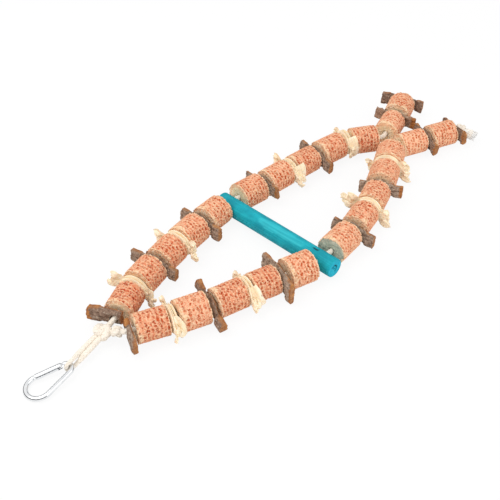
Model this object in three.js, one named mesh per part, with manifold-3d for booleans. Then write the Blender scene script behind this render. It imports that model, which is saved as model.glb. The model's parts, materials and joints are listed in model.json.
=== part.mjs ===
// Hanging bird chew toy: slices of corn cob, bark and husk threaded on a doubled cotton cord.
// The cord hangs from a snap hook, is knotted, parts into two strands, carries a wooden perch
// and ends in two free tails. Millimetres, +Z up. The toy lies flat, its hook at -X, its tails at +X.
import * as THREE from 'three';
import { mergeVertices } from 'three/addons/utils/BufferGeometryUtils.js';
import Module from 'manifold-3d';

const wasm = await Module();
wasm.setup();

// Cord
const CORD_DIAMETER = 4.5;
const CORD_SIDES = 8;
const BORE_SIDES = 16;
const THREAD_CLEARANCE = 0.3;
const BEAD_CLEARANCE = 0.5;
const SEAT_GAP = 0.3;

// Knots
const KNOT_RADIUS = 6.5;
const KNOT_HALF_WIDTH = 7.2;
const STOPPER_RADIUS = 4.4;
const STOPPER_LENGTH = 8;
const END_KNOT_RADIUS = 4.8;
const END_KNOT_LENGTH = 8;
const TUFT_LENGTH = 9;
const TUFT_RADIUS = 4.6;
const TUFT_END_RADIUS = 3.2;
const TUFT_BELLY = 0.6;
const KNOT_SIDES = 12;
const KNOT_RINGS = 6;

// Hanger loop, from the top knot to the hook
const LOOP_LENGTH = 35.5;
const LOOP_HEADING = 15;
const LOOP_CLEARANCE = 0.5;
const LOOP_BEND_STEPS = 6;

// Snap hook
const WIRE_DIAMETER = 4;
const HOOK_LENGTH = 40;
const HOOK_WIDTH = 23;
const HOOK_NARROW_WIDTH = 13;
const HOOK_HEADING = -3;
const GATE_DIAMETER = 4.6;
const GATE_CLEARANCE = 0.4;
const TONGUE_THICKNESS = 1.5;
const TONGUE_RADIUS = 1.7;
const NOSE_LENGTH = 2.6;
const NOSE_WIDTH = 1.5;
const PIN_DIAMETER = 1.5;
const PIN_CLEARANCE = 0.25;
const SPRING_DIAMETER = 1.8;
const SPRING_LENGTH = 9;
const WIRE_SIDES = 10;
const PIN_SIDES = 12;
const GATE_END_STEPS = 4;
const WIDE_BEND_STEPS = 14;
const NARROW_BEND_STEPS = 10;

// Perch dowel
const PERCH_DIAMETER = 16;
const PERCH_DROP = 2.5;
const PERCH_HOLE_SPACING = 101;
const PERCH_LEFT_OVERHANG = 9;
const PERCH_RIGHT_OVERHANG = 13.5;
const PERCH_CHAMFER = 0.6;
const PERCH_CLEARANCE = 0.4;
const PERCH_HOLE_HEADING = 2;
const PERCH_SIDES = 24;

// Tails: how far apart the strands' bends lie where the tails spread
const TAIL_SPREAD = 16.5;
const TAIL_BEND_CLEARANCE = 0.5;

// Beads
const COB_SIDES = 15;
const COB_CHAMFER = 1.6;
const COB_RING_PITCH = 3;
const COB_RING_DEPTH = 1.5;
const BARK_THICKNESS = 2.2;
const BARK_CURL = 70;
const HUSK_THICKNESS = 1.3;
const HUSK_LAYER_GAP = 0.8;
const HUSK_LAYERS = 3;

// The husk's leaf shape, as shares of its width at the ends and of its reach at the shoulders
const LEAF_MARGIN = 0.5;
const LEAF_POINT = 0.35;
const LEAF_BLUNT = 0.6;
const LEAF_SHOULDER = 0.65;

const CORD_RADIUS = CORD_DIAMETER / 2;
const BORE_RADIUS = CORD_RADIUS + THREAD_CLEARANCE;
const PERCH_RADIUS = PERCH_DIAMETER / 2;
const WIRE_RADIUS = WIRE_DIAMETER / 2;

// One slice of cob: its length along the cord, its diameter, and the cord's heading through it in degrees.
const cob = (length, diameter, heading) => ({ kind: 'cob', length, diameter, heading });

// One strip: its reach to the left and to the right of the cord, its width, and its roll about the cord
// in degrees, which lifts the left end. A bark strip with a flip of -1 curls the other way along the cord.
const bark = (left, right, width, roll, flip = 1) => ({ kind: 'bark', left, right, width, roll, flip });
const husk = (left, right, width, roll) => ({ kind: 'husk', left, right, width, roll });

const SIDES = ['left', 'right'];

// Beads of each stretch in the order of the cord, from the top knot to the tail ends.
const LEGS = {
  left: {
    top: [
      bark(23, 6, 13, -4, -1),
      cob(23, 24, 28),
      husk(20, 18, 18, 8),
      cob(22, 26.5, 18),
      bark(22, 20, 13, 6, -1),
      cob(22, 26, 15),
      husk(21, 20, 17, -8),
      cob(23.5, 26.5, 12),
      bark(20, 21, 14, 5, -1),
      cob(22, 26, 8),
    ],
    middle: [
      cob(24, 25.5, -7),
      bark(21, 20, 12, -6, -1),
      cob(24.5, 24.5, -5),
      husk(19, 20, 18, 6),
      cob(26, 24, -6),
      bark(20, 21, 13, 6, -1),
      cob(25, 25, -9),
      husk(18, 17, 19, 4),
      cob(24, 25, -34),
    ],
    tip: [
      cob(24.5, 24.5, 22),
      bark(20, 20, 13, 5),
      cob(24.5, 25.5, 26),
      bark(21, 20, 13, 4, -1),
    ],
  },
  right: {
    top: [
      bark(8, 17, 14, 14, -1),
      cob(25, 24, -21),
      husk(18, 19, 18, 6),
      cob(23.5, 26.8, -17),
      bark(22, 22, 11, 16, -1),
      cob(24.5, 25, -12),
      husk(20, 20, 18, 8),
      cob(22, 25, -13),
      bark(21, 21, 21, 4, -1),
      cob(23, 26.8, -13),
    ],
    middle: [
      cob(27, 25.5, 14),
      bark(18, 21, 14, 6, -1),
      cob(24, 24.5, 22),
      husk(22, 20, 19, 6),
      cob(23.5, 24.5, 28),
      bark(18, 21, 13, -4, -1),
      cob(24, 26.5, 33),
      husk(18, 22, 18, -8),
      cob(23, 26.5, 35),
    ],
    tip: [
      cob(25, 23.5, -19),
      bark(18, 19, 13, 6, -1),
      cob(25, 23.5, -18),
      bark(17, 17, 14, -5, -1),
    ],
  },
};

// The cord's own lead from the top knot towards the first bead.
const LEADS = {
  left: { length: 12.8, heading: 6.5 },
  right: { length: 17.7, heading: -55 },
};
const STOPPER_SIDE = 'right';

const radians = (degrees) => THREE.MathUtils.degToRad(degrees);

const allCobs = SIDES
  .flatMap((side) => Object.values(LEGS[side]).flat())
  .filter((bead) => bead.kind === 'cob');
const CORD_HEIGHT = Math.max(...allCobs.map((bead) => bead.diameter)) / 2;
const KNOT_HEIGHT = KNOT_RADIUS + CORD_RADIUS;

// Surface finishes
const finish = (color, roughness, metalness = 0) =>
  new THREE.MeshStandardMaterial({ color, roughness, metalness });
const COTTON = finish('#ece5d6', 0.95);
const STEEL = finish('#c9cbcd', 0.22, 1);
const STAINED_WOOD = finish('#2fb0bd', 0.6);
const COB = finish('#dd8f6b', 0.9);
const BARK = finish('#6f5647', 0.9);
const HUSK = finish('#e9d9b8', 0.8);

// Booleans on closed geometries
function toSolid(geometry) {
  const bare = geometry.clone();
  bare.deleteAttribute('normal');
  bare.deleteAttribute('uv');
  const merged = mergeVertices(bare, 1e-4);
  const mesh = new wasm.Mesh({
    numProp: 3,
    vertProperties: new Float32Array(merged.attributes.position.array),
    triVerts: new Uint32Array(merged.index.array),
  });
  return new wasm.Manifold(mesh);
}

function toGeometry(solid) {
  const mesh = solid.getMesh();
  const geometry = new THREE.BufferGeometry();
  geometry.setAttribute('position', new THREE.BufferAttribute(mesh.vertProperties, 3));
  geometry.setIndex(new THREE.BufferAttribute(mesh.triVerts, 1));
  geometry.computeVertexNormals();
  return geometry;
}

function cut(geometry, ...tools) {
  let solid = toSolid(geometry);
  for (const tool of tools) solid = solid.subtract(toSolid(tool));
  return toGeometry(solid);
}

function join(geometry, ...others) {
  let solid = toSolid(geometry);
  for (const other of others) solid = solid.add(toSolid(other));
  return toGeometry(solid);
}

function common(geometry, other) {
  return toGeometry(toSolid(geometry).intersect(toSolid(other)));
}

// A curve through given points whose even steps fall exactly on them.
class Route extends THREE.Curve {
  constructor(points) {
    super();
    this.points = points;
  }

  getPoint(t, target = new THREE.Vector3()) {
    const last = this.points.length - 1;
    const index = Math.min(Math.floor(t * last + 1e-9), last - 1);
    return target.lerpVectors(this.points[index], this.points[index + 1], t * last - index);
  }

  getPointAt(u, target) {
    return this.getPoint(u, target);
  }

  getTangentAt(u, target = new THREE.Vector3()) {
    const last = this.points.length - 1;
    const index = Math.round(u * last);
    const before = this.points[Math.max(index - 1, 0)];
    const here = this.points[index];
    const after = this.points[Math.min(index + 1, last)];
    const incoming = here.clone().sub(before).normalize();
    const outgoing = after.clone().sub(here).normalize();
    return target.copy(incoming).add(outgoing).normalize();
  }
}

function circle(radius, sides) {
  const points = [];
  for (let side = 0; side < sides; side += 1) {
    const angle = (2 * Math.PI * side) / sides;
    points.push(new THREE.Vector2(radius * Math.cos(angle), radius * Math.sin(angle)));
  }
  return new THREE.Shape(points);
}

function tube(points, radius, sides = CORD_SIDES) {
  const options = { steps: points.length - 1, bevelEnabled: false, extrudePath: new Route(points) };
  return new THREE.ExtrudeGeometry(circle(radius, sides), options);
}

// A turned piece about the X axis from (x, radius) pairs.
function turned(profile, sides) {
  const points = profile.map(([x, radius]) => new THREE.Vector2(radius, x));
  return new THREE.LatheGeometry(points, sides).rotateZ(-Math.PI / 2);
}

// An oval about the X axis, used for the knots.
function oval(radius, halfLength) {
  const profile = [];
  for (let ring = 0; ring <= KNOT_RINGS; ring += 1) {
    const angle = (Math.PI * ring) / KNOT_RINGS;
    profile.push([-halfLength * Math.cos(angle), ring % KNOT_RINGS === 0 ? 0 : radius * Math.sin(angle)]);
  }
  return turned(profile, KNOT_SIDES);
}

// A cylinder along X, centred on the origin.
function rod(radius, length, sides) {
  return new THREE.CylinderGeometry(radius, radius, length, sides).rotateZ(Math.PI / 2);
}

// A slice of cob: rings of kernel pits, here as grooves, between sharp ridges, round the cord's bore.
function cobGeometry(bead) {
  const half = bead.length / 2;
  const outer = bead.diameter / 2;
  const rings = Math.max(1, Math.round(bead.length / COB_RING_PITCH));
  const profile = [[-half, BORE_RADIUS], [-half, outer - COB_CHAMFER]];
  for (let ring = 0; ring < rings; ring += 1) {
    const ridge = ring + 1 < rings ? outer : outer - COB_CHAMFER;
    profile.push([bead.length * (ring + 0.5) / rings - half, outer - COB_RING_DEPTH]);
    profile.push([bead.length * (ring + 1) / rings - half, ridge]);
  }
  profile.push([half, BORE_RADIUS], [-half, BORE_RADIUS]);
  return turned(profile, COB_SIDES);
}

// The outer radius of a bark strip's curl, from its width and its half angle.
const curlRadius = (bead) => bead.width / 2 / Math.sin(radians(BARK_CURL));

// How far a strip reaches along the cord: the rise of its curl, or its folded layers.
function stripDepth(bead) {
  if (bead.kind === 'husk') return HUSK_LAYERS * HUSK_THICKNESS + (HUSK_LAYERS - 1) * HUSK_LAYER_GAP;
  const outer = curlRadius(bead);
  return outer - (outer - BARK_THICKNESS) * Math.cos(radians(BARK_CURL));
}

// A curled strip: an arc across its width, X along the cord, run along Y.
function barkGeometry(bead, boreRadius) {
  const outer = curlRadius(bead);
  const halfAngle = radians(BARK_CURL);
  const centre = stripDepth(bead) / 2 - outer;
  const section = new THREE.Shape();
  section.absarc(centre, 0, outer, -halfAngle, halfAngle, false);
  section.absarc(centre, 0, outer - BARK_THICKNESS, halfAngle, -halfAngle, true);
  const options = { depth: bead.left + bead.right, bevelEnabled: false, curveSegments: 6 };
  const strip = new THREE.ExtrudeGeometry(section, options);
  strip.rotateX(-Math.PI / 2);
  strip.translate(0, -bead.right, 0);
  if (bead.flip < 0) strip.rotateZ(Math.PI).rotateX(Math.PI);
  return cut(strip, rod(boreRadius, 2 * outer, BORE_SIDES));
}

// A leaf outline in the strip's own plane, blunt at the left and nearly pointed at the right.
// It runs a little past both ends, so that the folds there stay whole.
function leafOutline(bead) {
  const half = bead.width / 2;
  const left = bead.left + LEAF_MARGIN;
  const right = bead.right + LEAF_MARGIN;
  const outline = new THREE.Shape();
  outline.moveTo(-right, -half * LEAF_POINT);
  outline.quadraticCurveTo(-right * LEAF_SHOULDER, -half, 0, -half);
  outline.quadraticCurveTo(left * LEAF_SHOULDER, -half, left, -half * LEAF_BLUNT);
  outline.lineTo(left, half * LEAF_BLUNT);
  outline.quadraticCurveTo(left * LEAF_SHOULDER, half, 0, half);
  outline.quadraticCurveTo(-right * LEAF_SHOULDER, half, -right, half * LEAF_POINT);
  outline.closePath();
  return outline;
}

// The outline of one ribbon laid to and fro in layers along X: out along one face and back along the other.
function foldedOutline(leftTurn, rightTurn, depth) {
  const half = HUSK_THICKNESS / 2;
  const pitch = HUSK_THICKNESS + HUSK_LAYER_GAP;
  const layerX = (layer) => half - depth / 2 + layer * pitch;
  const outline = new THREE.Shape();
  const turnAfter = (layer, onWayOut) => {
    const upwards = layer % 2 === 0;
    const radius = upwards === onWayOut ? pitch / 2 + half : pitch / 2 - half;
    const far = upwards ? 0 : 2 * Math.PI;
    const [from, to] = onWayOut ? [Math.PI, far] : [far, Math.PI];
    const clockwise = upwards === onWayOut;
    outline.absarc(layerX(layer) + pitch / 2, upwards ? leftTurn : rightTurn, radius, from, to, clockwise);
  };
  outline.moveTo(layerX(0) - half, rightTurn);
  for (let layer = 0; layer < HUSK_LAYERS; layer += 1) {
    const upwards = layer % 2 === 0;
    outline.lineTo(layerX(layer) + (upwards ? -half : half), upwards ? leftTurn : rightTurn);
    if (layer < HUSK_LAYERS - 1) turnAfter(layer, true);
  }
  for (let layer = HUSK_LAYERS - 1; layer >= 0; layer -= 1) {
    const upwards = layer % 2 === 0;
    const face = layerX(layer) + (upwards ? half : -half);
    if (layer === HUSK_LAYERS - 1) outline.lineTo(face, upwards ? leftTurn : rightTurn);
    outline.lineTo(face, upwards ? rightTurn : leftTurn);
    if (layer > 0) turnAfter(layer - 1, false);
  }
  outline.closePath();
  return outline;
}

// A folded strip: a ribbon in layers, cut to a leaf and pierced by the cord.
function huskGeometry(bead, boreRadius) {
  const depth = stripDepth(bead);
  const turnReach = HUSK_THICKNESS + HUSK_LAYER_GAP / 2;
  const ribbon = foldedOutline(bead.left - turnReach, turnReach - bead.right, depth);
  const options = { depth: bead.width, bevelEnabled: false, curveSegments: 3 };
  const folded = new THREE.ExtrudeGeometry(ribbon, options).translate(0, 0, -bead.width / 2);
  const leafOptions = { depth: 2 * depth, bevelEnabled: false, curveSegments: 3 };
  const leaf = new THREE.ExtrudeGeometry(leafOutline(bead), leafOptions).translate(0, 0, -depth);
  leaf.applyMatrix4(new THREE.Matrix4().makeBasis(
    new THREE.Vector3(0, 1, 0),
    new THREE.Vector3(0, 0, 1),
    new THREE.Vector3(1, 0, 0),
  ));
  return cut(common(folded, leaf), rod(boreRadius, 2 * depth, BORE_SIDES));
}

// Walks along the cord, keeping its route and the place of each bead.
class Walker {
  constructor(start) {
    this.at = start.clone();
    this.route = [start.clone()];
    this.places = [];
  }

  go(heading, distance, height = this.at.z) {
    this.at.x += distance * Math.cos(radians(heading));
    this.at.y += distance * Math.sin(radians(heading));
    this.at.z = height;
  }

  turn() {
    this.route.push(this.at.clone());
  }

  put(bead, heading, boreRadius) {
    this.places.push({ bead, heading, boreRadius, at: this.at.clone() });
  }
}

// The tangent of half the turn between two headings: the share of a bead's radius that it must stand off.
const wedge = (from, to) => Math.tan(radians(Math.abs(to - from) / 2));

// Threads a stretch's beads, with all their headings turned by swing degrees.
// The cord changes its heading inside the strips.
function threadBeads(walker, beads, swing) {
  let heading = beads.find((bead) => bead.kind === 'cob').heading;
  beads.forEach((bead, index) => {
    if (bead.kind === 'cob') {
      heading = bead.heading;
      walker.go(heading + swing, bead.length / 2);
      walker.put(bead, heading + swing, BORE_RADIUS);
      walker.go(heading + swing, bead.length / 2);
      return;
    }
    const before = beads[index - 1];
    const after = beads[index + 1];
    const next = after ? after.heading : heading;
    const lean = wedge(heading, next);
    const half = stripDepth(bead) / 2;
    walker.go(heading + swing, half + BEAD_CLEARANCE + (before ? lean * before.diameter / 2 : 0));
    walker.put(bead, (heading + next) / 2 + swing, BORE_RADIUS + lean * half);
    if (next !== heading) walker.turn();
    heading = next;
    walker.go(heading + swing, half + BEAD_CLEARANCE + (after ? lean * after.diameter / 2 : 0));
  });
}

// How far a cob's end stands from the perch's surface, along a heading that leans from the drilled hole.
const perchStandOff = (bead) =>
  PERCH_CLEARANCE + wedge(0, 2 * (bead.heading - PERCH_HOLE_HEADING)) * bead.diameter / 2;

// How far a cob's end stands from the bend where a tail spreads.
const bendStandOff = (bead, other) =>
  TAIL_BEND_CLEARANCE + wedge(bead.heading, other.heading) * bead.diameter / 2;

// From the top knot to the middle of the perch.
function walkTop(side, start, swing) {
  const beads = LEGS[side].top;
  const lead = LEADS[side];
  const last = beads.at(-1);
  const walker = new Walker(start);
  walker.go(lead.heading + swing, lead.length, CORD_HEIGHT);
  walker.turn();
  threadBeads(walker, beads, swing);
  walker.go(last.heading + swing, perchStandOff(last));
  walker.turn();
  walker.go(PERCH_HOLE_HEADING, PERCH_RADIUS);
  return walker;
}

// From the middle of the perch to the bend where the tail spreads.
function walkMiddle(side, start, swing) {
  const beads = LEGS[side].middle;
  const walker = new Walker(start);
  walker.go(PERCH_HOLE_HEADING, PERCH_RADIUS);
  walker.turn();
  walker.go(beads[0].heading + swing, perchStandOff(beads[0]));
  threadBeads(walker, beads, swing);
  walker.go(beads.at(-1).heading + swing, bendStandOff(beads.at(-1), LEGS[side].tip[0]));
  return walker;
}

// From the bend to the end of the tail, which lies on its own widest cob.
function walkTip(side, start, lastMiddle) {
  const beads = LEGS[side].tip;
  const widest = Math.max(...beads.map((bead) => bead.diameter || 0));
  const walker = new Walker(start);
  walker.go(beads[0].heading, bendStandOff(beads[0], lastMiddle), widest / 2);
  walker.turn();
  threadBeads(walker, beads, 0);
  return walker;
}

// Swings both strands outwards alike until their ends lie a given distance apart, the left one on the left.
const SWING_LIMIT = 30;
const SWING_HALVINGS = 50;
function walkPair(walk, starts, spacing) {
  const pairAt = (swing) => ({
    left: walk('left', starts.left, swing),
    right: walk('right', starts.right, -swing),
  });
  let low = -SWING_LIMIT;
  let high = SWING_LIMIT;
  for (let step = 0; step < SWING_HALVINGS; step += 1) {
    const middle = (low + high) / 2;
    const pair = pairAt(middle);
    const apart = pair.left.at.distanceTo(pair.right.at) * Math.sign(pair.left.at.y - pair.right.at.y);
    if (apart > spacing) high = middle;
    else low = middle;
  }
  return pairAt((low + high) / 2);
}

// Lays out the whole cord, with the top knot at X = Y = 0.
const KNOT_CENTRE = new THREE.Vector3(0, 0, KNOT_HEIGHT);
const top = walkPair(walkTop, { left: KNOT_CENTRE, right: KNOT_CENTRE }, PERCH_HOLE_SPACING);
const holes = { left: top.left.at, right: top.right.at };
const middle = walkPair(walkMiddle, holes, TAIL_SPREAD);
const bends = { left: middle.left.at, right: middle.right.at };
const tip = {
  left: walkTip('left', bends.left, LEGS.left.middle.at(-1)),
  right: walkTip('right', bends.right, LEGS.right.middle.at(-1)),
};

const toy = new THREE.Group();

function add(name, geometry, material, group = toy) {
  const mesh = new THREE.Mesh(geometry, material);
  mesh.name = name;
  group.add(mesh);
  return mesh;
}

// The point a given distance from one point towards another.
const towards = (from, to, distance) =>
  from.clone().add(to.clone().sub(from).setLength(distance));

// Turns a geometry made along +X to run from a point in the direction of another, and puts it at the point.
function aim(geometry, from, to) {
  const direction = to.clone().sub(from).normalize();
  const turn = new THREE.Quaternion().setFromUnitVectors(new THREE.Vector3(1, 0, 0), direction);
  return geometry.applyQuaternion(turn).translate(from.x, from.y, from.z);
}

// Beads: cobs, bark strips and husk strips, numbered from the top knot down on each strand.
function addBeads() {
  for (const side of SIDES) {
    const counts = { cob: 0, bark: 0, husk: 0 };
    for (const { bead, at, heading, boreRadius } of [top, middle, tip].flatMap((part) => part[side].places)) {
      counts[bead.kind] += 1;
      const name = `${side}_${bead.kind}_${counts[bead.kind]}`;
      const shapes = { cob: cobGeometry, bark: barkGeometry, husk: huskGeometry };
      const finishes = { cob: COB, bark: BARK, husk: HUSK };
      const mesh = add(name, shapes[bead.kind](bead, boreRadius), finishes[bead.kind]);
      mesh.position.copy(at);
      mesh.rotation.set(radians(bead.roll || 0), 0, radians(heading), 'ZYX');
    }
  }
}

// The strand's cord from the top knot into the perch's hole, with a stopper knot on one side.
function addTopCord(side) {
  const [start, ...rest] = top[side].route;
  const exit = new Walker(top[side].at);
  exit.go(PERCH_HOLE_HEADING, Math.sqrt(PERCH_RADIUS ** 2 - (PERCH_DROP + CORD_RADIUS) ** 2));
  const first = towards(start, rest[0], KNOT_HALF_WIDTH + SEAT_GAP);
  let cord = tube([first, ...rest, exit.at], CORD_RADIUS);
  if (side === STOPPER_SIDE) {
    const stopper = oval(STOPPER_RADIUS, STOPPER_LENGTH / 2);
    const stopperMiddle = towards(first, rest[0], STOPPER_LENGTH / 2);
    cord = join(cord, aim(stopper, stopperMiddle, rest[0]));
  }
  add(`${side}_cord_top`, cord, COTTON);
}

// The strand's cord between the perch and the tail's bend, rounded where the tail turns on it.
function addMiddleCord(side) {
  const exit = middle[side].route[1];
  const first = LEGS[side].middle[0];
  const lean = Math.tan(radians(Math.abs(first.heading - PERCH_HOLE_HEADING)));
  const start = towards(exit, middle[side].route[2], SEAT_GAP + lean * CORD_RADIUS);
  const cord = tube([start, ...middle[side].route.slice(2), bends[side]], CORD_RADIUS);
  const end = new THREE.SphereGeometry(CORD_RADIUS, 10, 6).translate(...bends[side].toArray());
  add(`${side}_cord_middle`, join(cord, end), COTTON);
}

// The tail's cord with its stopper knot and frayed end.
function addTipCord(side) {
  const { route, at } = tip[side];
  const start = towards(route[0], route[1], CORD_RADIUS + SEAT_GAP);
  const last = route.at(-1);
  const knotMiddle = towards(last, at, last.distanceTo(at) + END_KNOT_LENGTH / 2);
  const cord = tube([start, ...route.slice(1), knotMiddle], CORD_RADIUS);
  const knot = oval(END_KNOT_RADIUS, END_KNOT_LENGTH / 2);
  const tuft = turned([
    [0, 0],
    [0, CORD_RADIUS],
    [END_KNOT_LENGTH / 2, CORD_RADIUS],
    [END_KNOT_LENGTH / 2 + TUFT_LENGTH * TUFT_BELLY, TUFT_RADIUS],
    [END_KNOT_LENGTH / 2 + TUFT_LENGTH, TUFT_END_RADIUS],
    [END_KNOT_LENGTH / 2 + TUFT_LENGTH, 0],
  ], KNOT_SIDES);
  const beyond = towards(last, at, last.distanceTo(at) + END_KNOT_LENGTH);
  add(`${side}_cord_tip`, join(cord, aim(knot, knotMiddle, beyond), aim(tuft, knotMiddle, beyond)), COTTON);
}

// The perch: a dowel with chamfered ends and a hole for each strand, which hangs a little below the cord.
function addPerch() {
  const length = PERCH_LEFT_OVERHANG + PERCH_HOLE_SPACING + PERCH_RIGHT_OVERHANG;
  const dowel = turned([
    [0, 0],
    [0, PERCH_RADIUS - PERCH_CHAMFER],
    [PERCH_CHAMFER, PERCH_RADIUS],
    [length - PERCH_CHAMFER, PERCH_RADIUS],
    [length, PERCH_RADIUS - PERCH_CHAMFER],
    [length, 0],
  ], PERCH_SIDES);
  const drop = new THREE.Vector3(0, 0, -PERCH_DROP);
  const rightEnd = towards(holes.left, holes.right, PERCH_HOLE_SPACING + PERCH_RIGHT_OVERHANG).add(drop);
  const drills = Object.values(holes).map((hole) => {
    const drill = rod(BORE_RADIUS, 2 * PERCH_DIAMETER, BORE_SIDES);
    return drill.rotateZ(radians(PERCH_HOLE_HEADING)).translate(...hole.toArray());
  });
  add('perch', cut(aim(dowel, rightEnd, holes.left.clone().add(drop)), ...drills), STAINED_WOOD);
}

// The top knot, round about the line that the hanger folds on.
function addTopKnot() {
  const knot = oval(KNOT_RADIUS, KNOT_HALF_WIDTH).rotateZ(Math.PI / 2 + radians(LOOP_HEADING));
  add('top_knot', knot.translate(...KNOT_CENTRE.toArray()), COTTON);
}

// Hanger: a group at the hook's wire, where the loop goes round it, with -X along the hook.
const LOOP_BEND_RADIUS = WIRE_RADIUS + LOOP_CLEARANCE + CORD_RADIUS;
const HANGER_HEIGHT = LOOP_BEND_RADIUS + CORD_RADIUS;
const hanger = new THREE.Group();
hanger.position.set(
  -LOOP_LENGTH * Math.cos(radians(LOOP_HEADING)),
  -LOOP_LENGTH * Math.sin(radians(LOOP_HEADING)),
  HANGER_HEIGHT,
);
hanger.rotation.z = radians(HOOK_HEADING);
toy.add(hanger);

// The cord's bight round the wire: one leg over it, one under it, side by side at the knot.
function addHangerLoop() {
  const spread = CORD_RADIUS + SEAT_GAP / 2;
  const turn = radians(LOOP_HEADING - HOOK_HEADING);
  const along = new THREE.Vector3(Math.cos(turn), Math.sin(turn), 0);
  const across = new THREE.Vector3(-along.y, along.x, 0);
  const knot = along.clone().multiplyScalar(LOOP_LENGTH).setZ(KNOT_HEIGHT - HANGER_HEIGHT);
  const leg = (side) => {
    const shoulder = new THREE.Vector3(0, 0, side * LOOP_BEND_RADIUS);
    const foot = knot.clone().addScaledVector(along, -KNOT_HALF_WIDTH - SEAT_GAP);
    foot.addScaledVector(across, side * spread);
    const waist = shoulder.clone().lerp(foot, 0.5).addScaledVector(across, side * spread / 2);
    return [foot, waist, shoulder];
  };
  const bend = [];
  for (let step = 1; step < LOOP_BEND_STEPS; step += 1) {
    const angle = Math.PI / 2 + (Math.PI * step) / LOOP_BEND_STEPS;
    bend.push(new THREE.Vector3(Math.cos(angle), 0, Math.sin(angle)).multiplyScalar(LOOP_BEND_RADIUS));
  }
  add('hanger_loop', tube([...leg(1), ...bend, ...leg(-1).reverse()], CORD_RADIUS), COTTON, hanger);
}

// Snap hook: a group at the middle of its narrow bend's wire, tilted so that its wide end lies on the floor.
const WIDE_RADIUS = (HOOK_WIDTH - WIRE_DIAMETER) / 2;
const NARROW_RADIUS = (HOOK_NARROW_WIDTH - WIRE_DIAMETER) / 2;
const HOOK_REACH = HOOK_LENGTH - WIRE_DIAMETER;
const hook = new THREE.Group();
hook.rotation.y = -Math.asin((HANGER_HEIGHT - WIRE_RADIUS) / HOOK_REACH);
hanger.add(hook);

const narrowCentre = new THREE.Vector3(-NARROW_RADIUS, 0, 0);
const wideCentre = new THREE.Vector3(WIDE_RADIUS - HOOK_REACH, 0, 0);
const flankAngle = Math.acos((WIDE_RADIUS - NARROW_RADIUS) / narrowCentre.distanceTo(wideCentre));
const onArc = (centre, radius, angle) =>
  new THREE.Vector3(radius * Math.cos(angle), radius * Math.sin(angle), 0).add(centre);

// The gate closes the flank on the left, from the nose on the wide bend to the tongue on the narrow one.
const nosePoint = onArc(wideCentre, WIDE_RADIUS, flankAngle);
const tonguePoint = onArc(narrowCentre, NARROW_RADIUS, flankAngle);
const GATE_RADIUS = GATE_DIAMETER / 2;
const gatePivot = towards(tonguePoint, nosePoint, GATE_RADIUS + GATE_CLEARANCE);
const gateLength = gatePivot.distanceTo(nosePoint) - GATE_CLEARANCE;

// A flat plate in the hook's plane with a round end, from the origin to a length along X.
function plate(length, width, thickness) {
  const outline = new THREE.Shape();
  outline.moveTo(-WIRE_RADIUS / 2, -width / 2);
  outline.lineTo(length - width / 2, -width / 2);
  outline.absarc(length - width / 2, 0, width / 2, -Math.PI / 2, Math.PI / 2, false);
  outline.lineTo(-WIRE_RADIUS / 2, width / 2);
  outline.closePath();
  const options = { depth: thickness, bevelEnabled: false, curveSegments: 6 };
  return new THREE.ExtrudeGeometry(outline, options).translate(0, 0, -thickness / 2);
}

function pinAt(radius, length) {
  const pin = new THREE.CylinderGeometry(radius, radius, length, PIN_SIDES).rotateX(Math.PI / 2);
  return pin.translate(...gatePivot.toArray());
}

function addHookBody() {
  const points = [];
  const sweep = (centre, radius, from, to, steps) => {
    for (let step = 0; step <= steps; step += 1) {
      points.push(onArc(centre, radius, from + ((to - from) * step) / steps));
    }
  };
  sweep(wideCentre, WIDE_RADIUS, flankAngle, 2 * Math.PI - flankAngle, WIDE_BEND_STEPS);
  sweep(narrowCentre, NARROW_RADIUS, -flankAngle, flankAngle, NARROW_BEND_STEPS);
  const nose = aim(plate(NOSE_LENGTH, NOSE_WIDTH, TONGUE_THICKNESS), nosePoint, tonguePoint);
  const reach = tonguePoint.distanceTo(gatePivot) + TONGUE_RADIUS;
  const tongue = aim(plate(reach, 2 * TONGUE_RADIUS, TONGUE_THICKNESS), tonguePoint, nosePoint);
  const body = join(tube(points, WIRE_RADIUS, WIRE_SIDES), nose, tongue);
  add('hook_body', cut(body, pinAt(PIN_DIAMETER / 2 + PIN_CLEARANCE, GATE_DIAMETER)), STEEL, hook);
}

// The gate: a round bar with a fork round the tongue, a slot for the nose that is open outwards,
// and a bore for its spring.
function addHookGate() {
  const round = [];
  for (let step = 0; step <= GATE_END_STEPS; step += 1) {
    const angle = (Math.PI / 2 * step) / GATE_END_STEPS;
    round.push([-GATE_RADIUS * Math.cos(angle), step === 0 ? 0 : GATE_RADIUS * Math.sin(angle)]);
  }
  const bar = turned([...round, [gateLength, GATE_RADIUS], [gateLength, 0]], PIN_SIDES);
  const slotWidth = TONGUE_THICKNESS + 2 * PIN_CLEARANCE;
  const forkEnd = TONGUE_RADIUS + GATE_CLEARANCE;
  const fork = new THREE.BoxGeometry(2 * GATE_DIAMETER, 2 * GATE_DIAMETER, slotWidth);
  fork.translate(forkEnd - GATE_DIAMETER, 0, 0);
  const slotFloor = NOSE_WIDTH / 2 + PIN_CLEARANCE;
  const slot = new THREE.BoxGeometry(2 * NOSE_LENGTH, GATE_DIAMETER, slotWidth);
  slot.translate(gateLength, slotFloor - GATE_RADIUS, 0);
  const boreLength = SPRING_LENGTH + 2 * PIN_CLEARANCE;
  const springBore = rod(SPRING_DIAMETER / 2 + PIN_CLEARANCE, boreLength, PIN_SIDES);
  springBore.translate(forkEnd + SPRING_LENGTH / 2, 0, 0);
  const gate = aim(cut(bar, fork, slot, springBore), gatePivot, nosePoint);
  add('hook_gate', cut(gate, pinAt(PIN_DIAMETER / 2 + PIN_CLEARANCE, 2 * GATE_DIAMETER)), STEEL, hook);
  const spring = rod(SPRING_DIAMETER / 2, SPRING_LENGTH, PIN_SIDES);
  spring.translate(forkEnd + SPRING_LENGTH / 2, 0, 0);
  add('gate_spring', aim(spring, gatePivot, nosePoint), STEEL, hook);
}

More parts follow.
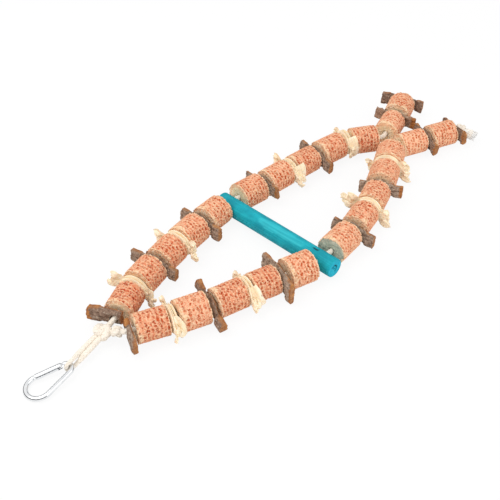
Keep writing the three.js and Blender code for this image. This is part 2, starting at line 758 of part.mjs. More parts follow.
addHookBody();
addHookGate();
add('gate_pin', pinAt(PIN_DIAMETER / 2, GATE_DIAMETER), STEEL, hook);
addHangerLoop();
addTopKnot();
addPerch();
for (const side of SIDES) {
  addTopCord(side);
  addMiddleCord(side);
  addTipCord(side);
}
addBeads();

// The origin lies on the floor under the middle of the whole toy.
toy.updateMatrixWorld(true);
const box = new THREE.Box3().setFromObject(toy, true);
const centre = box.getCenter(new THREE.Vector3());
toy.position.set(-centre.x, -centre.y, -box.min.z);

export default toy;
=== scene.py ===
import json
import math

import bmesh
import bpy
import numpy as np
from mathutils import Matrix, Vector, noise


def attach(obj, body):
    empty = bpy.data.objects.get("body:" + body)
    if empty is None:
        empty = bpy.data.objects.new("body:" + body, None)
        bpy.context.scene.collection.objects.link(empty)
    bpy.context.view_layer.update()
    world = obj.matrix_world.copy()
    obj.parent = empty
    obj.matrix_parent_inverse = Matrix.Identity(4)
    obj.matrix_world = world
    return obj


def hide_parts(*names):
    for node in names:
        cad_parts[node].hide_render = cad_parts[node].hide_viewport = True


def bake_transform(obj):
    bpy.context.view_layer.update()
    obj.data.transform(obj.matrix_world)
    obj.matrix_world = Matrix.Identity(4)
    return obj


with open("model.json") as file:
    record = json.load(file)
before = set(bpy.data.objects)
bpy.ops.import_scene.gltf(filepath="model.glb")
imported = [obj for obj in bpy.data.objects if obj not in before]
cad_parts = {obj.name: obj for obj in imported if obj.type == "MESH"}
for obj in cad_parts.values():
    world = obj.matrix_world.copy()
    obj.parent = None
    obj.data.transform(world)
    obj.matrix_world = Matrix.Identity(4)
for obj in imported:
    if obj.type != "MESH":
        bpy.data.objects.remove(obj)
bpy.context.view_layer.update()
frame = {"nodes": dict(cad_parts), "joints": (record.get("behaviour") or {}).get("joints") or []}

# Lengths of the pieces are in millimetres until a piece is made.
MM = 0.001
SIDES = ("left", "right")
JOINTS = {joint["name"]: joint for joint in frame["joints"]}
UP = np.array((0.0, 0.0, 1.0))

# Camera, as the photograph was taken
VIEW_SLOPE = math.radians(41.5)
VIEW_TURN = math.radians(43)
VIEW_DISTANCE = 0.750
VIEW_TARGET = Vector((-0.0238, 0.0021, 0))
VIEW_LENS = 66.4

# Cord and knots
CORD_RADIUS = 2.25
BRAID_LEAD = 13.0
BRAID_STEP = 0.9
KNOT_STEP = 0.75
YARN_SIDES = 6
KNOT_HALF = (6.5, 7.2, 6.5)
KNOT_CORD = 2.9
STOPPER_HALF = (4.0, 4.4, 4.4)
END_KNOT_HALF = (4.0, 4.8, 4.8)
SMALL_KNOT_CORD = 1.7
TUFT_LENGTH = 14.5
TUFT_STRANDS = 150
TUFT_CORE = 0.78
TUFT_FALL = {"left": (0.5, 0.0, 0.6), "right": (0.55, 0.75, 0.3)}
STRAND_ABOVE_FLOOR = 0.8
BRUSH_ABOVE_FLOOR = 2.6
FILAMENT_RADIUS = 0.85
PINCH = 0.28
CORD_IN_KNOT = 4
UPPER_IN_HOLE = 3
LOWER_IN_HOLE = 2

# Hook
WIRE_RADIUS = 2.0
WIRE_SIDES = 24
WIDE_RADIUS = 9.5
NARROW_RADIUS = 4.5
HOOK_REACH = 36.0
GATE_RADIUS = 2.3
GATE_CLEARANCE = 0.4
TONGUE_THICKNESS = 1.5
TONGUE_RADIUS = 1.7
PLATE_BACK = 1.0
PLATE_EASE = 0.12
NOSE_LENGTH = 2.6
NOSE_WIDTH = 1.5
PIN_RADIUS = 0.75
PIN_CLEARANCE = 0.25
SPRING_RADIUS = 0.9
SPRING_LENGTH = 9.0
SPRING_TURNS = 9
SPRING_WIRE_RADIUS = 0.18
LOOP_BEND_RADIUS = 3.75

# Perch
PERCH_RADIUS = 8.0
PERCH_BEVEL = 0.7
PERCH_DROP = 2.5
PERCH_SCAR_PLACE = 52
PERCH_SCAR_HALF = 26
PERCH_DARK_SPOT_PLACE = 20.5
PERCH_DARK_SPOT_HALF = 4.2
PERCH_HOLE_HEADING = math.radians(2)
PERCH_HOLE_RADIUS = 2.6

# Beads
BEAD_CLEARANCE = 0.5
BORE_RADIUS = 2.6
COB_SIDES = 15
COB_RING_PITCH = 3.0
COB_CELL_WIDTH = 3.1
COB_EMPTY_CELLS = 0.13
COB_PIT_HALF_WIDTH = 0.44
COB_PIT_HALF_LENGTH = 0.36
COB_PIT_DEPTH = 0.85
COB_LIP_HEIGHT = 0.65
COB_TORN_RIM = 0.5
COB_FACE = 13.2
TIP_ROOM = 0.5
STAINED_COB = "right_cob_6"
STAIN = 0.85
BARK_HOLE_RADIUS = 4.0
BARK_THICKNESS = 2.5
BARK_SAWN_EDGE = 0.5
BARK_BELOW_RIM = 3.0
BARK_HELD_DEPTH = 2.6
BARK_FREE_DEPTH = 0.8
HUSK_HOLE_RADIUS = 3.0
HUSK_THICKNESS = 2.05
HUSK_PITCH = 1.88
HUSK_TURN_REACH = 1.7
HUSK_RAW_EDGE = 1.2
HUSK_HELD = 9.0
HUSK_BELOW_RIM = 1.0
HUSK_FOLD_BACK = 2.0
HUSK_FLAP = 1.2
HUSK_SLANT = 0.2
HUSK_PLEAT = 0.75
HUSK_RIM_ROOM = 1.0
HUSK_LET_GO = 3.5
HUSK_ABOVE_FLOOR = 1.4
HUSK_TOP = 26.6


# Shader helpers

def linear(code):
    """A colour written as six hex digits, as linear red, green, blue and alpha."""
    values = [int(code[at:at + 2], 16) / 255 for at in (0, 2, 4)]
    return [v / 12.92 if v <= 0.04045 else ((v + 0.055) / 1.055) ** 2.4 for v in values] + [1.0]


def put(tree, kind, inputs=None, **settings):
    """Adds a shader node, with its settings, and with a value or a link for each named input."""
    node = tree.nodes.new("ShaderNode" + kind)
    for key, value in settings.items():
        setattr(node, key, value)
    for key, value in (inputs or {}).items():
        if isinstance(value, bpy.types.NodeSocket):
            tree.links.new(value, node.inputs[key])
        else:
            node.inputs[key].default_value = value
    return node


def mixed(tree, share, first, second):
    return put(tree, "Mix", {0: share, 6: first, 7: second}, data_type="RGBA").outputs[2]


def ranged(tree, value, low, high, to_low=0.0, to_high=1.0):
    inputs = {"Value": value, "From Min": low, "From Max": high, "To Min": to_low, "To Max": to_high}
    return put(tree, "MapRange", inputs).outputs["Result"]


def maths(tree, operation, first, second):
    return put(tree, "Math", {0: first, 1: second}, operation=operation).outputs[0]


def cloudy(tree, vector, scale, **more):
    return put(tree, "TexNoise", {"Vector": vector, "Scale": scale, **more}).outputs["Fac"]


def emptied(owner):
    """The cleared node tree of a material or a world."""
    owner.use_nodes = True
    owner.node_tree.nodes.clear()
    return owner.node_tree


def new_group(name, inputs, output, kind="Float"):
    """A shader node group with a vector and other inputs and one output, and its input and output sockets."""
    tree = bpy.data.node_groups.new(name, "ShaderNodeTree")
    tree.interface.new_socket("Vector", in_out="INPUT", socket_type="NodeSocketVector")
    for label, value in inputs.items():
        socket = "NodeSocketColor" if isinstance(value, tuple) else "NodeSocketFloat"
        tree.interface.new_socket(label, in_out="INPUT", socket_type=socket).default_value = value
    tree.interface.new_socket(output, in_out="OUTPUT", socket_type="NodeSocket" + kind)
    return tree, tree.nodes.new("NodeGroupInput").outputs, tree.nodes.new("NodeGroupOutput").inputs[output]


def make_mottle():
    """Two tones in soft clouds with finer clouds in them."""
    inputs = {"Scale": 0.2, "First": (1, 1, 1, 1), "Second": (0, 0, 0, 1)}
    tree, given, out = new_group("soft mottle", inputs, "Color", "Color")
    clouded = cloudy(tree, given["Vector"], given["Scale"], Detail=5.0, Roughness=0.62)
    share = ranged(tree, clouded, 0.36, 0.64)
    tree.links.new(mixed(tree, share, given["First"], given["Second"]), out)
    return tree


def make_flecks():
    """Scattered small spots: each cell of a net holds one or none."""
    tree, given, out = new_group("scattered flecks", {"Scale": 0.4, "Share": 0.3, "Size": 0.35}, "Mask")
    net = put(tree, "TexVoronoi", {"Vector": given["Vector"], "Scale": given["Scale"]})
    near = maths(tree, "SUBTRACT", given["Size"], net.outputs["Distance"])
    draw = put(tree, "SeparateColor", {"Color": net.outputs["Color"]}).outputs[0]
    chosen = maths(tree, "LESS_THAN", draw, given["Share"])
    tree.links.new(maths(tree, "MULTIPLY", ranged(tree, near, 0.0, 0.12), chosen), out)
    return tree


def make_fibres():
    """Fine lines that run along Y."""
    tree, given, out = new_group("long fibres", {"Scale": 1.0, "Stretch": 0.08}, "Mask")
    along = put(tree, "CombineXYZ", {0: 1.0, 1: given["Stretch"], 2: 1.0})
    drawn = put(tree, "VectorMath", {0: given["Vector"], 1: along.outputs[0]}, operation="MULTIPLY")
    lines = cloudy(tree, drawn.outputs[0], given["Scale"], Detail=4.0, Roughness=0.55, Distortion=0.3)
    tree.links.new(ranged(tree, lines, 0.38, 0.64), out)
    return tree


def make_relief():
    """Small unevenness for the bump of a dry surface."""
    tree, given, out = new_group("dry relief", {"Scale": 1.0}, "Height")
    coarse = cloudy(tree, given["Vector"], given["Scale"], Detail=3.0)
    finer = maths(tree, "MULTIPLY", given["Scale"], 4.0)
    fine = cloudy(tree, given["Vector"], finer, Detail=2.0)
    tree.links.new(maths(tree, "ADD", coarse, maths(tree, "MULTIPLY", fine, 0.5)), out)
    return tree


MOTTLE = make_mottle()
FLECKS = make_flecks()
FIBRES = make_fibres()
RELIEF = make_relief()


# Finishes

class Finish:
    """A material in the making. Its patterns follow the place that each mesh carries for them."""

    def __init__(self, name):
        self.material = bpy.data.materials.new(name)
        self.tree = emptied(self.material)
        self.place = self.read("place", "Vector")

    def read(self, name, output="Fac"):
        """A value that the mesh carries at each of its points."""
        return put(self.tree, "Attribute", attribute_name=name).outputs[output]

    def use(self, shared, **inputs):
        """Places a shared node group and gives back its only output."""
        return put(self.tree, "Group", {"Vector": self.place, **inputs}, node_tree=shared).outputs[0]

    def mottle(self, scale, first, second):
        return self.use(MOTTLE, Scale=scale, First=linear(first), Second=linear(second))

    def flecks(self, scale, share, size):
        return self.use(FLECKS, Scale=scale, Share=share, Size=size)

    def fibres(self, scale, stretch):
        return self.use(FIBRES, Scale=scale, Stretch=stretch)

    def scaled(self, mask, share):
        return maths(self.tree, "MULTIPLY", mask, share)

    def mix(self, share, first, second):
        return mixed(self.tree, share, first, second)

    def tint(self, colour, mask, share, code):
        """Lays a plain colour over another where a mask is, by a share of it."""
        return self.mix(self.scaled(mask, share), colour, linear(code))

    def span(self, value, low, high, to_low=0.0, to_high=1.0):
        return ranged(self.tree, value, low, high, to_low, to_high)

    def bump(self, scale, more, strength, distance):
        """The normal of a dry surface with one more pattern on it, or of that pattern alone."""
        height = maths(self.tree, "ADD", self.use(RELIEF, Scale=scale), more) if scale else more
        inputs = {"Height": height, "Strength": strength, "Distance": distance}
        return {"Normal": put(self.tree, "Bump", inputs).outputs[0]}

    def done(self, colour, roughness, inputs):
        """Joins everything to the shader and gives back the material."""
        inputs = {"Base Color": colour, "Roughness": roughness, **inputs}
        shader = put(self.tree, "BsdfPrincipled", inputs)
        put(self.tree, "OutputMaterial", {"Surface": shader.outputs[0]})
        return self.material


def make_cob_finish():
    """Dry cob: salmon between orange-red pits, cream chaff on lips and rims, pale wood on the sawn ends."""
    made = Finish("dry corn cob")
    tone = made.read("tone")
    skin = made.mix(tone, made.mottle(0.5, "fdc3a0", "ef9f79"), made.mottle(0.5, "ec9870", "cf6c43"))
    hollow = made.mix(tone, made.mottle(0.7, "e27d4b", "c6592e"), made.mottle(0.7, "cc5126", "a53a17"))
    depth = made.span(made.read("pit"), 0.03, 0.36)
    side = made.mix(depth, skin, hollow)
    side = made.tint(side, made.flecks(0.95, 0.3, 0.5), 0.45, "cb5a2f")
    chaff = made.flecks(0.75, 0.42, 0.5)
    lips = maths(made.tree, "MAXIMUM", made.scaled(chaff, 0.55), made.read("fleck"))
    side = made.mix(lips, side, made.mottle(0.8, "fce4c4", "f0c594"))
    core = made.read("core")
    scales, wood = made.mottle(0.9, "ffdcb6", "f0ab7e"), made.mottle(0.5, "fce4c0", "f3cfa2")
    end = made.mix(made.span(core, 0.3, 0.5), scales, wood)
    end = made.mix(made.span(core, 0.6, 0.8), end, made.mottle(0.5, "f6e4c6", "e6c9a0"))
    crumbs, gaps = made.flecks(0.5, 0.5, 0.5), made.flecks(0.42, 0.3, 0.36)
    end = made.tint(made.tint(end, crumbs, 0.6, "fff1d8"), gaps, 0.6, "96673f")
    end = made.mix(made.read("stain"), end, made.mottle(0.4, "d3d2bd", "98a397"))
    surface = made.mix(made.span(core, 0.02, 0.14), side, end)
    rough = made.span(depth, 0.0, 1.0, 0.8, 0.95)
    return made.done(surface, rough, {"Specular IOR Level": 0.2, **made.bump(1.2, chaff, 0.6, 0.0005)})


def make_bark_finish():
    """Bark: taupe or brown crust with grit and cracks, dark brown in its furrows and cracks that is partly the
    crust's own colour and partly painted shade, and orange-brown fibres inside or where it is bare.
    """
    made = Finish("branch bark")
    grey, brown = made.mottle(0.5, "c0ad9b", "97826f"), made.mottle(0.5, "9a7d6a", "6b5346")
    crust = made.mix(made.read("tone"), grey, brown)
    lichen, grit = made.flecks(0.5, 0.35, 0.45), made.flecks(1.1, 0.35, 0.45)
    crust = made.tint(made.tint(crust, lichen, 0.35, "cfc0ad"), grit, 0.45, "5d4436")
    # Dark brown in the furrows and cracks: partly the crust's own colour, partly painted shade in these
    # recesses.
    crust = made.tint(crust, made.read("furrow"), 0.8, "583a28")
    lines = made.fibres(0.9, 0.12)
    bast = made.tint(made.mottle(0.3, "c98a50", "9d6136"), lines, 0.55, "754426")
    surface = made.mix(made.read("inner"), crust, bast)
    rough = made.span(lines, 0.0, 1.0, 0.8, 0.93)
    bump = made.bump(1.3, made.scaled(lines, 0.4), 0.55, 0.0006)
    return made.done(surface, rough, {"Specular IOR Level": 0.2, **bump})


def make_husk_finish():
    """Dried husk: ivory, softly veined along its length, with tan painted shade in its folds and creases, and a
    few dark specks.
    """
    made = Finish("folded husk")
    veins = made.fibres(0.8, 0.07)
    leaf = made.tint(made.mottle(0.14, "fff2da", "f9e4c2"), veins, 0.22, "ecd2a6")
    # Painted shade: tan in the folds, wrinkles, pleats and along the edges, where the crease shade value is.
    leaf = made.tint(leaf, made.read("crease"), 0.5, "d9b582")
    leaf = made.tint(leaf, made.flecks(0.16, 0.12, 0.16), 0.75, "6d4f33")
    return made.done(leaf, made.span(veins, 0.0, 1.0, 0.6, 0.78), {
        "Subsurface Weight": 0.12,
        "Subsurface Radius": (0.004, 0.003, 0.002),
        "Specular IOR Level": 0.3,
        **made.bump(0.7, veins, 0.35, 0.0005),
    })


def make_cotton_finish():
    """Undyed cotton yarn: off-white with fine filaments, painted shade between its yarns and deep in the tuft,
    and whiter where it is frayed.
    """
    made = Finish("cotton yarn")
    lines = made.fibres(3.2, 0.1)
    yarn = made.tint(made.mottle(0.25, "f7efe3", "efe4d5"), lines, 0.2, "e4d7c3")
    # Painted shade: darker where the yarns sink between each other, on the core and deep in the tuft.
    yarn = made.tint(yarn, made.read("crease"), 0.7, "cbb99f")
    yarn = made.tint(yarn, made.read("frayed"), 0.9, "fcfbf9")
    return made.done(yarn, made.span(lines, 0.0, 1.0, 0.86, 0.97), {
        "Sheen Weight": 0.25,
        "Sheen Roughness": 0.5,
        "Specular IOR Level": 0.15,
        **made.bump(None, lines, 0.4, 0.0003),
    })


def make_perch_finish():
    """Dyed wood: turquoise with lengthwise grain, a paler scar, a small dark spot, dark splits in the ends and
    bluer sawn ends.
    """
    made = Finish("turquoise dyed wood")
    grain = made.fibres(0.8, 0.03)
    dye = made.tint(made.mottle(0.09, "12acba", "0a93a3"), grain, 0.35, "056f80")
    dye = made.tint(dye, made.read("scar"), 0.7, "38c0ca")
    dye = made.mix(made.read("sawn"), dye, made.mottle(0.3, "059bb4", "14b0c6"))
    # Dark teal where the knot value is: a small dark spot on top, and the splits in the sawn ends.
    dye = made.mix(made.read("knot"), dye, linear("123f47"))
    rough = made.span(grain, 0.0, 1.0, 0.62, 0.8)
    return made.done(dye, rough, {"Specular IOR Level": 0.25, **made.bump(0.5, grain, 0.25, 0.0004)})


def make_steel_finish():
    """Bright plated wire with faint drawing lines."""
    made = Finish("plated steel")
    rough = made.span(made.fibres(0.6, 0.03), 0.0, 1.0, 0.07, 0.13)
    return made.done(made.mottle(0.2, "eeeff0", "e2e4e6"), rough, {"Metallic": 1.0})


FINISHES = {
    "corn_cob": make_cob_finish(),
    "bark": make_bark_finish(),
    "husk": make_husk_finish(),
    "cotton_cord": make_cotton_finish(),
    "dyed_wood": make_perch_finish(),
    "polished_steel": make_steel_finish(),
}


# Mesh helpers. A form is its points, its faces, and the values that its finish reads at each point.

def grid_faces(rows, columns, wrap_rows=False):
    """The four-sided faces of a net of points in rows, with each row closed to a ring."""
    faces = []
    for row in range(rows if wrap_rows else rows - 1):
        below = (row + 1) % rows
        for column in range(columns):
            beside = (column + 1) % columns
            corners = (row, column), (row, beside), (below, beside), (below, column)
            faces.append(tuple(r * columns + c for r, c in corners))
    return faces


def tube_faces(rows, columns):
    """The faces of a tube of rings, closed at both ends."""
    last = (rows - 1) * columns
    return grid_faces(rows, columns) + [tuple(range(at, at + columns)) for at in (0, last)]


def net_form(net, faces, **values):
    """A form from a net of points. Each value is a net too, or fits one."""
    carried = {}
    for key, value in values.items():
        whole = np.ndim(value) == 3
        carried[key] = value.reshape(-1, 3) if whole else np.broadcast_to(value, net.shape[:2]).ravel()
    return net.reshape(-1, 3), faces, carried


def tube(net, **values):
    return net_form(net, tube_faces(*net.shape[:2]), **values)


def two_sided(front, back):
    """The front and then the back of a strip, in the order of its points."""
    return np.concatenate((front, back[:, ::-1]), 1)


def strip(front, back, **values):
    """A form from the front and the back of a strip, closed round its edges and ends."""
    rows, columns = front.shape[:2]
    count = 2 * columns
    faces = grid_faces(rows, count)
    for row in (0, rows - 1):
        for column in range(columns - 1):
            mirror = count - 1 - column
            faces.append(tuple(row * count + c for c in (column, column + 1, mirror - 1, mirror)))
    return net_form(two_sided(front, back), faces, **values)


def joined(forms):
    """Several forms as one."""
    faces = []
    count = 0
    for points, more, _ in forms:
        faces += [tuple(count + corner for corner in face) for face in more]
        count += len(points)
    values = {key: np.concatenate([form[2][key] for form in forms]) for key in forms[0][2]}
    return np.concatenate([form[0] for form in forms]), faces, values


def new_object(name, points, faces):
    """A mesh object from points in millimetres, with its faces turned outwards."""
    mesh = bpy.data.meshes.new(name)
    mesh.from_pydata((np.asarray(points) * MM).tolist(), [], faces)
    work = bmesh.new()
    work.from_mesh(mesh)
    bmesh.ops.recalc_face_normals(work, faces=work.faces)
    work.to_mesh(mesh)
    work.free()
    made = bpy.data.objects.new(name, mesh)
    bpy.context.scene.collection.objects.link(made)
    return made


def make_piece(name, form, slot, body=None, sharp=None, world=None):
    """Makes a piece from a form in the scene's frame, or in one that the world function carries there."""
    points, faces, values = form
    piece = new_object(name, world(points) if world else points, faces)
    mesh = piece.data
    for label, data in values.items():
        kind, field = ("FLOAT_VECTOR", "vector") if data.ndim == 2 else ("FLOAT", "value")
        layer = mesh.attributes.new(label, kind, "POINT")
        layer.data.foreach_set(field, data.astype(np.float32).ravel())
    mesh.materials.append(FINISHES[slot])
    mesh.polygons.foreach_set("use_smooth", [True] * len(mesh.polygons))
    if sharp:
        mesh.set_sharp_from_angle(angle=math.radians(sharp))
    if body:
        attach(piece, body)
    return piece


def cut_away(piece, *tools):
    """Cuts tools out of a piece, and removes them."""
    for tool in tools:
        cutting = piece.modifiers.new("cut", "BOOLEAN")
        cutting.operation = "DIFFERENCE"
        cutting.solver = "MANIFOLD"
        cutting.object = tool
    bpy.context.view_layer.update()
    state = bpy.context.evaluated_depsgraph_get()
    shown = piece.evaluated_get(state)
    cut = bpy.data.meshes.new_from_object(shown, preserve_all_data_layers=True, depsgraph=state)
    piece.modifiers.clear()
    piece.data = cut
    for tool in tools:
        bpy.data.objects.remove(tool)


def spots(x, y, z):
    """Points from their coordinates, each a number or an array."""
    return np.stack(np.broadcast_arrays(x, y, z), -1)


def turns(count):
    """Even angles once round."""
    return np.arange(count) * 2 * math.pi / count


def unit(vector):
    return vector / np.linalg.norm(vector)


def square_to(direction):
    """Two unit vectors square to a direction and to each other, the first as level as it can be."""
    side = np.cross(UP, direction)
    if np.linalg.norm(side) < 1e-6:
        side = np.array((0.0, 1.0, 0.0))
    side = unit(side)
    return side, np.cross(direction, side)


def rod_tool(centre, direction, radius, length, sides=20):
    """A plain rod that only cuts others."""
    side, rise = square_to(direction)
    turn = turns(sides)
    ring = radius * (np.outer(np.cos(turn), side) + np.outer(np.sin(turn), rise))
    points = np.concatenate([centre + ring + way * direction * length / 2 for way in (-1, 1)])
    return new_object("cutter", points, tube_faces(2, sides))


def box_tool(centre, axes, size):
    """A plain box that only cuts others."""
    corners = np.array([(x, y, z) for x in (-0.5, 0.5) for y in (-0.5, 0.5) for z in (-0.5, 0.5)])
    faces = [(0, 1, 3, 2), (4, 6, 7, 5), (0, 4, 5, 1), (2, 3, 7, 6), (0, 2, 6, 4), (1, 5, 7, 3)]
    return new_object("cutter", centre + (corners * size) @ axes, faces)


def clouds(points, scale, octaves=2):
    """Smooth noise from about -1 to 1 at each point."""
    found = [noise.fractal(Vector(p) * scale, 1.0, 2.0, octaves) for p in points.reshape(-1, 3)]
    return np.reshape(found, points.shape[:-1])


def eased(value, low, high):
    """0 below low, 1 above high, smooth between."""
    share = np.clip((np.asarray(value, float) - low) / (high - low), 0, 1)
    return share * share * (3 - 2 * share)


def seed_of(node):
    return sum(ord(letter) * (place + 3) for place, letter in enumerate(node))


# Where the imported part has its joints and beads

def joint_place(name):
    return np.array(JOINTS[name]["pos_m"]) / MM


def joint_axis(name):
    return unit(np.array(JOINTS[name]["axis"]))


def node_points(node):
    return np.array([v.co for v in frame["nodes"][node].data.vertices]) / MM


class Bead:
    """A bead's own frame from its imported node: X along the cord, Y to the left, Z upwards, in millimetres."""

    def __init__(self, node):
        self.node = node
        self.seed = seed_of(node)
        self.origin = joint_place(node + "_turn")
        self.along = joint_axis(node + "_turn")
        points = node_points(node) - self.origin
        left = np.cross(UP, self.along)
        if "_cob_" not in node:
            flat = points - np.outer(points @ self.along, self.along)
            longest = np.linalg.eigh(flat.T @ flat)[1][:, 2]
            left = longest * np.sign(longest @ left)
        left = unit(left - self.along * (left @ self.along))
        self.axes = np.array((self.along, left, np.cross(self.along, left)))
        local = points @ self.axes.T
        self.low = local.min(0)
        self.high = local.max(0)
        self.length = self.high[0] - self.low[0]
        self.radius = np.hypot(local[:, 1], local[:, 2]).max()
        edge = local[np.abs(local[:, 2]) > 0.7 * self.high[2], 0]
        crown = local[np.abs(local[:, 2]) < 0.35 * self.high[2], 0]
        self.crown = 1.0 if crown.max() + crown.min() - edge.max() - edge.min() > 0 else -1.0

    def world(self, local):
        return self.origin + np.asarray(local) @ self.axes

    def ends(self):
        return self.origin + self.along * self.low[0], self.origin + self.along * self.high[0]

    def cord_hole(self, radius):
        return rod_tool(self.origin, self.along, radius, 4 * self.length + 20)

    def at_level(self, level, y):
        """How far above the bead's origin a height over the floor lies, at a distance to the left."""
        return (level - self.origin[2] - y * self.axes[1, 2]) / self.axes[2, 2]

    def named(self, what):
        """The name of this bead's piece, such as cob_slice_left_1."""
        side, _, number = self.node.split("_")
        return f"{what}_{side}_{number}"


BEADS = {
    f"{side}_{kind}_{number}": Bead(f"{side}_{kind}_{number}")
    for side in SIDES
    for kind, count in (("cob", 12), ("bark", 7), ("husk", 4))
    for number in range(1, count + 1)
}

# The beads of each strand in the cord's order
TOP_ORDER = "bark_1 cob_1 husk_1 cob_2 bark_2 cob_3 husk_2 cob_4 bark_3 cob_5".split()
MIDDLE_ORDER = "cob_6 bark_4 cob_7 husk_3 cob_8 bark_5 cob_9 husk_4 cob_10".split()
TIP_ORDER = "cob_11 bark_6 cob_12 bark_7".split()
ORDER = TOP_ORDER + MIDDLE_ORDER + TIP_ORDER


def cobs_beside(node):
    """The radii of the cobs before and after a strip, where it has them."""
    side, bead = node.split("_", 1)
    place = ORDER.index(bead)
    return [BEADS[f"{side}_{ORDER[at]}"].radius for at in (place - 1, place + 1) if 0 <= at < len(ORDER)]


# Corn cob slices

def make_cob(node, tone, stain):
    """A slice of cob: staggered rings of pits between scaly lips, frayed rims, and drilled sawn ends."""
    bead = BEADS[node]
    draw = np.random.default_rng(bead.seed)
    half = bead.length / 2
    rings = max(6, round(bead.length / COB_RING_PITCH))
    cells = round(2 * math.pi * bead.radius / COB_CELL_WIDTH)
    columns, rows = cells * 6, rings * 7 + 1
    u, v = np.meshgrid(np.arange(columns) / columns, np.linspace(0, 1, rows))
    angle = 2 * math.pi * u
    x = -half + bead.length * v
    spot = spots(x, bead.radius * np.cos(angle), bead.radius * np.sin(angle)) + bead.seed

    def patchy(scale, octaves=2, move=0.0):
        return clouds(spot + move, scale, octaves)

    uneven, fine, chips = patchy(0.1), patchy(0.9, 3), np.clip(patchy(0.3, 2, 50), 0, 1)
    # Each ring starts half a pit after the one before, as on the plant, and no two pits are alike.
    table = (rings, cells)
    depth, scaly = draw.uniform(0.3, 1.15, table), draw.uniform(0, 1, table) ** 1.2
    depth = depth * (draw.uniform(0, 1, table) > COB_EMPTY_CELLS)
    shift, slip = draw.uniform(-0.28, 0.28, table), draw.uniform(-0.13, 0.13, table)
    size = draw.uniform(0.75, 1.25, table)
    ring_place = v * rings + 0.4 * patchy(0.16, 1, 20) + 0.32 * patchy(0.45, 2, 30)
    ring_place = np.clip(ring_place, 0, rings - 1e-6)
    ring = ring_place.astype(int)
    across = ring_place - ring - 0.5
    cell_place = u * cells + 0.5 * (ring % 2) + 0.6 * patchy(0.25, 2, 40)
    cell = np.floor(cell_place).astype(int) % cells
    round_about = cell_place - np.floor(cell_place) - 0.5
    at = ring, cell
    reach = np.abs((round_about + shift[at]) / COB_PIT_HALF_WIDTH) ** 2.5
    reach = reach + ((across + slip[at]) / COB_PIT_HALF_LENGTH) ** 2
    reach = reach / size[at] + 0.35 * fine
    worn = 0.6 + 0.4 * eased(patchy(0.12, 2, 70), -0.35, 0.2)
    pit = np.clip(1 - reach, 0, 1) ** 0.7 * depth[at] * worn
    lip = np.exp(-((np.abs(across) - 0.5) / 0.17) ** 2) * (0.35 + 0.65 * scaly[at])
    wall = np.exp(-((np.abs(round_about) - 0.5) / 0.13) ** 2) * (0.2 + 0.6 * scaly[at])
    lip = np.maximum(lip, wall)
    rim = np.minimum(x + half, half - x)
    radius = bead.radius - 0.65 + 0.25 * uneven + 0.75 * fine - COB_PIT_DEPTH * pit + COB_LIP_HEIGHT * lip
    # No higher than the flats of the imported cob, and less where the two tips pass each other.
    widest = bead.radius * math.cos(math.pi / COB_SIDES)
    if node.endswith("cob_11"):
        widest -= TIP_ROOM
    radius = np.minimum(radius, widest)
    radius -= (1 - eased(rim, 0, 1.6)) * (0.4 + 1.4 * chips)
    fleck = lip * np.clip(0.75 + 1.0 * fine, 0, 1)
    fleck = np.maximum(fleck, 0.7 * eased(patchy(0.9, 2, 110), 0.25, 0.55))
    # Chaff shows where the saw has torn the rim, most on the end towards the hook.
    torn = 1.6 + 8.0 * np.clip(patchy(0.13, 2, 130) + 0.12, 0, 1)
    chaff = (1 - eased(x + half, 0.5 * torn, torn)) + (1 - eased(half - x, 0.3, 1.5))
    fleck = np.clip(np.maximum(fleck, chaff * (0.55 + 0.45 * eased(fine, -0.4, 0.2))), 0, 0.95)
    radius = np.minimum(radius + chaff * (0.35 + 0.6 * fine), widest)
    x = x + np.sign(-x) * (1 - eased(rim, 0, 1.2)) * 0.8 * chips
    outside = spots(x, radius * np.cos(angle), radius * np.sin(angle))

    # Rings of points on the sawn ends, from the rim to the hole and out again.
    shares = np.array((1.0, 0.86, 0.7, 0.52, 0.34, 0.16, 0.0))
    turn = turns(columns)

    def sawn_ring(side, share):
        edge = radius[0] if side < 0 else radius[-1]
        r = BORE_RADIUS + (edge - COB_TORN_RIM - BORE_RADIUS) * share
        found = spots(side * half, r * np.cos(turn), r * np.sin(turn))
        sawn = 0.25 + 0.6 * clouds(found + bead.seed + 90, 0.4, 3) + 0.35 * (share < 0.4)
        found[:, 0] -= side * np.clip(sawn, 0.02, 1.2)
        return found

    far = [sawn_ring(1, share) for share in shares]
    near = [sawn_ring(-1, share) for share in shares[::-1]]
    net = np.concatenate((outside, far, near))
    plain = np.zeros((2 * len(shares), columns))
    depths = np.repeat(1.1 - shares[:, None], columns, 1)
    form = net_form(
        net, grid_faces(len(net), columns, wrap_rows=True), place=net + bead.seed, tone=tone, stain=stain,
        pit=np.concatenate((pit, plain)), fleck=np.concatenate((fleck, plain)),
        core=np.concatenate((0 * u, depths, depths[::-1])))
    piece = make_piece(bead.named("cob_slice"), form, "corn_cob", node, world=bead.world)
    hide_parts(node)


# Bark strips

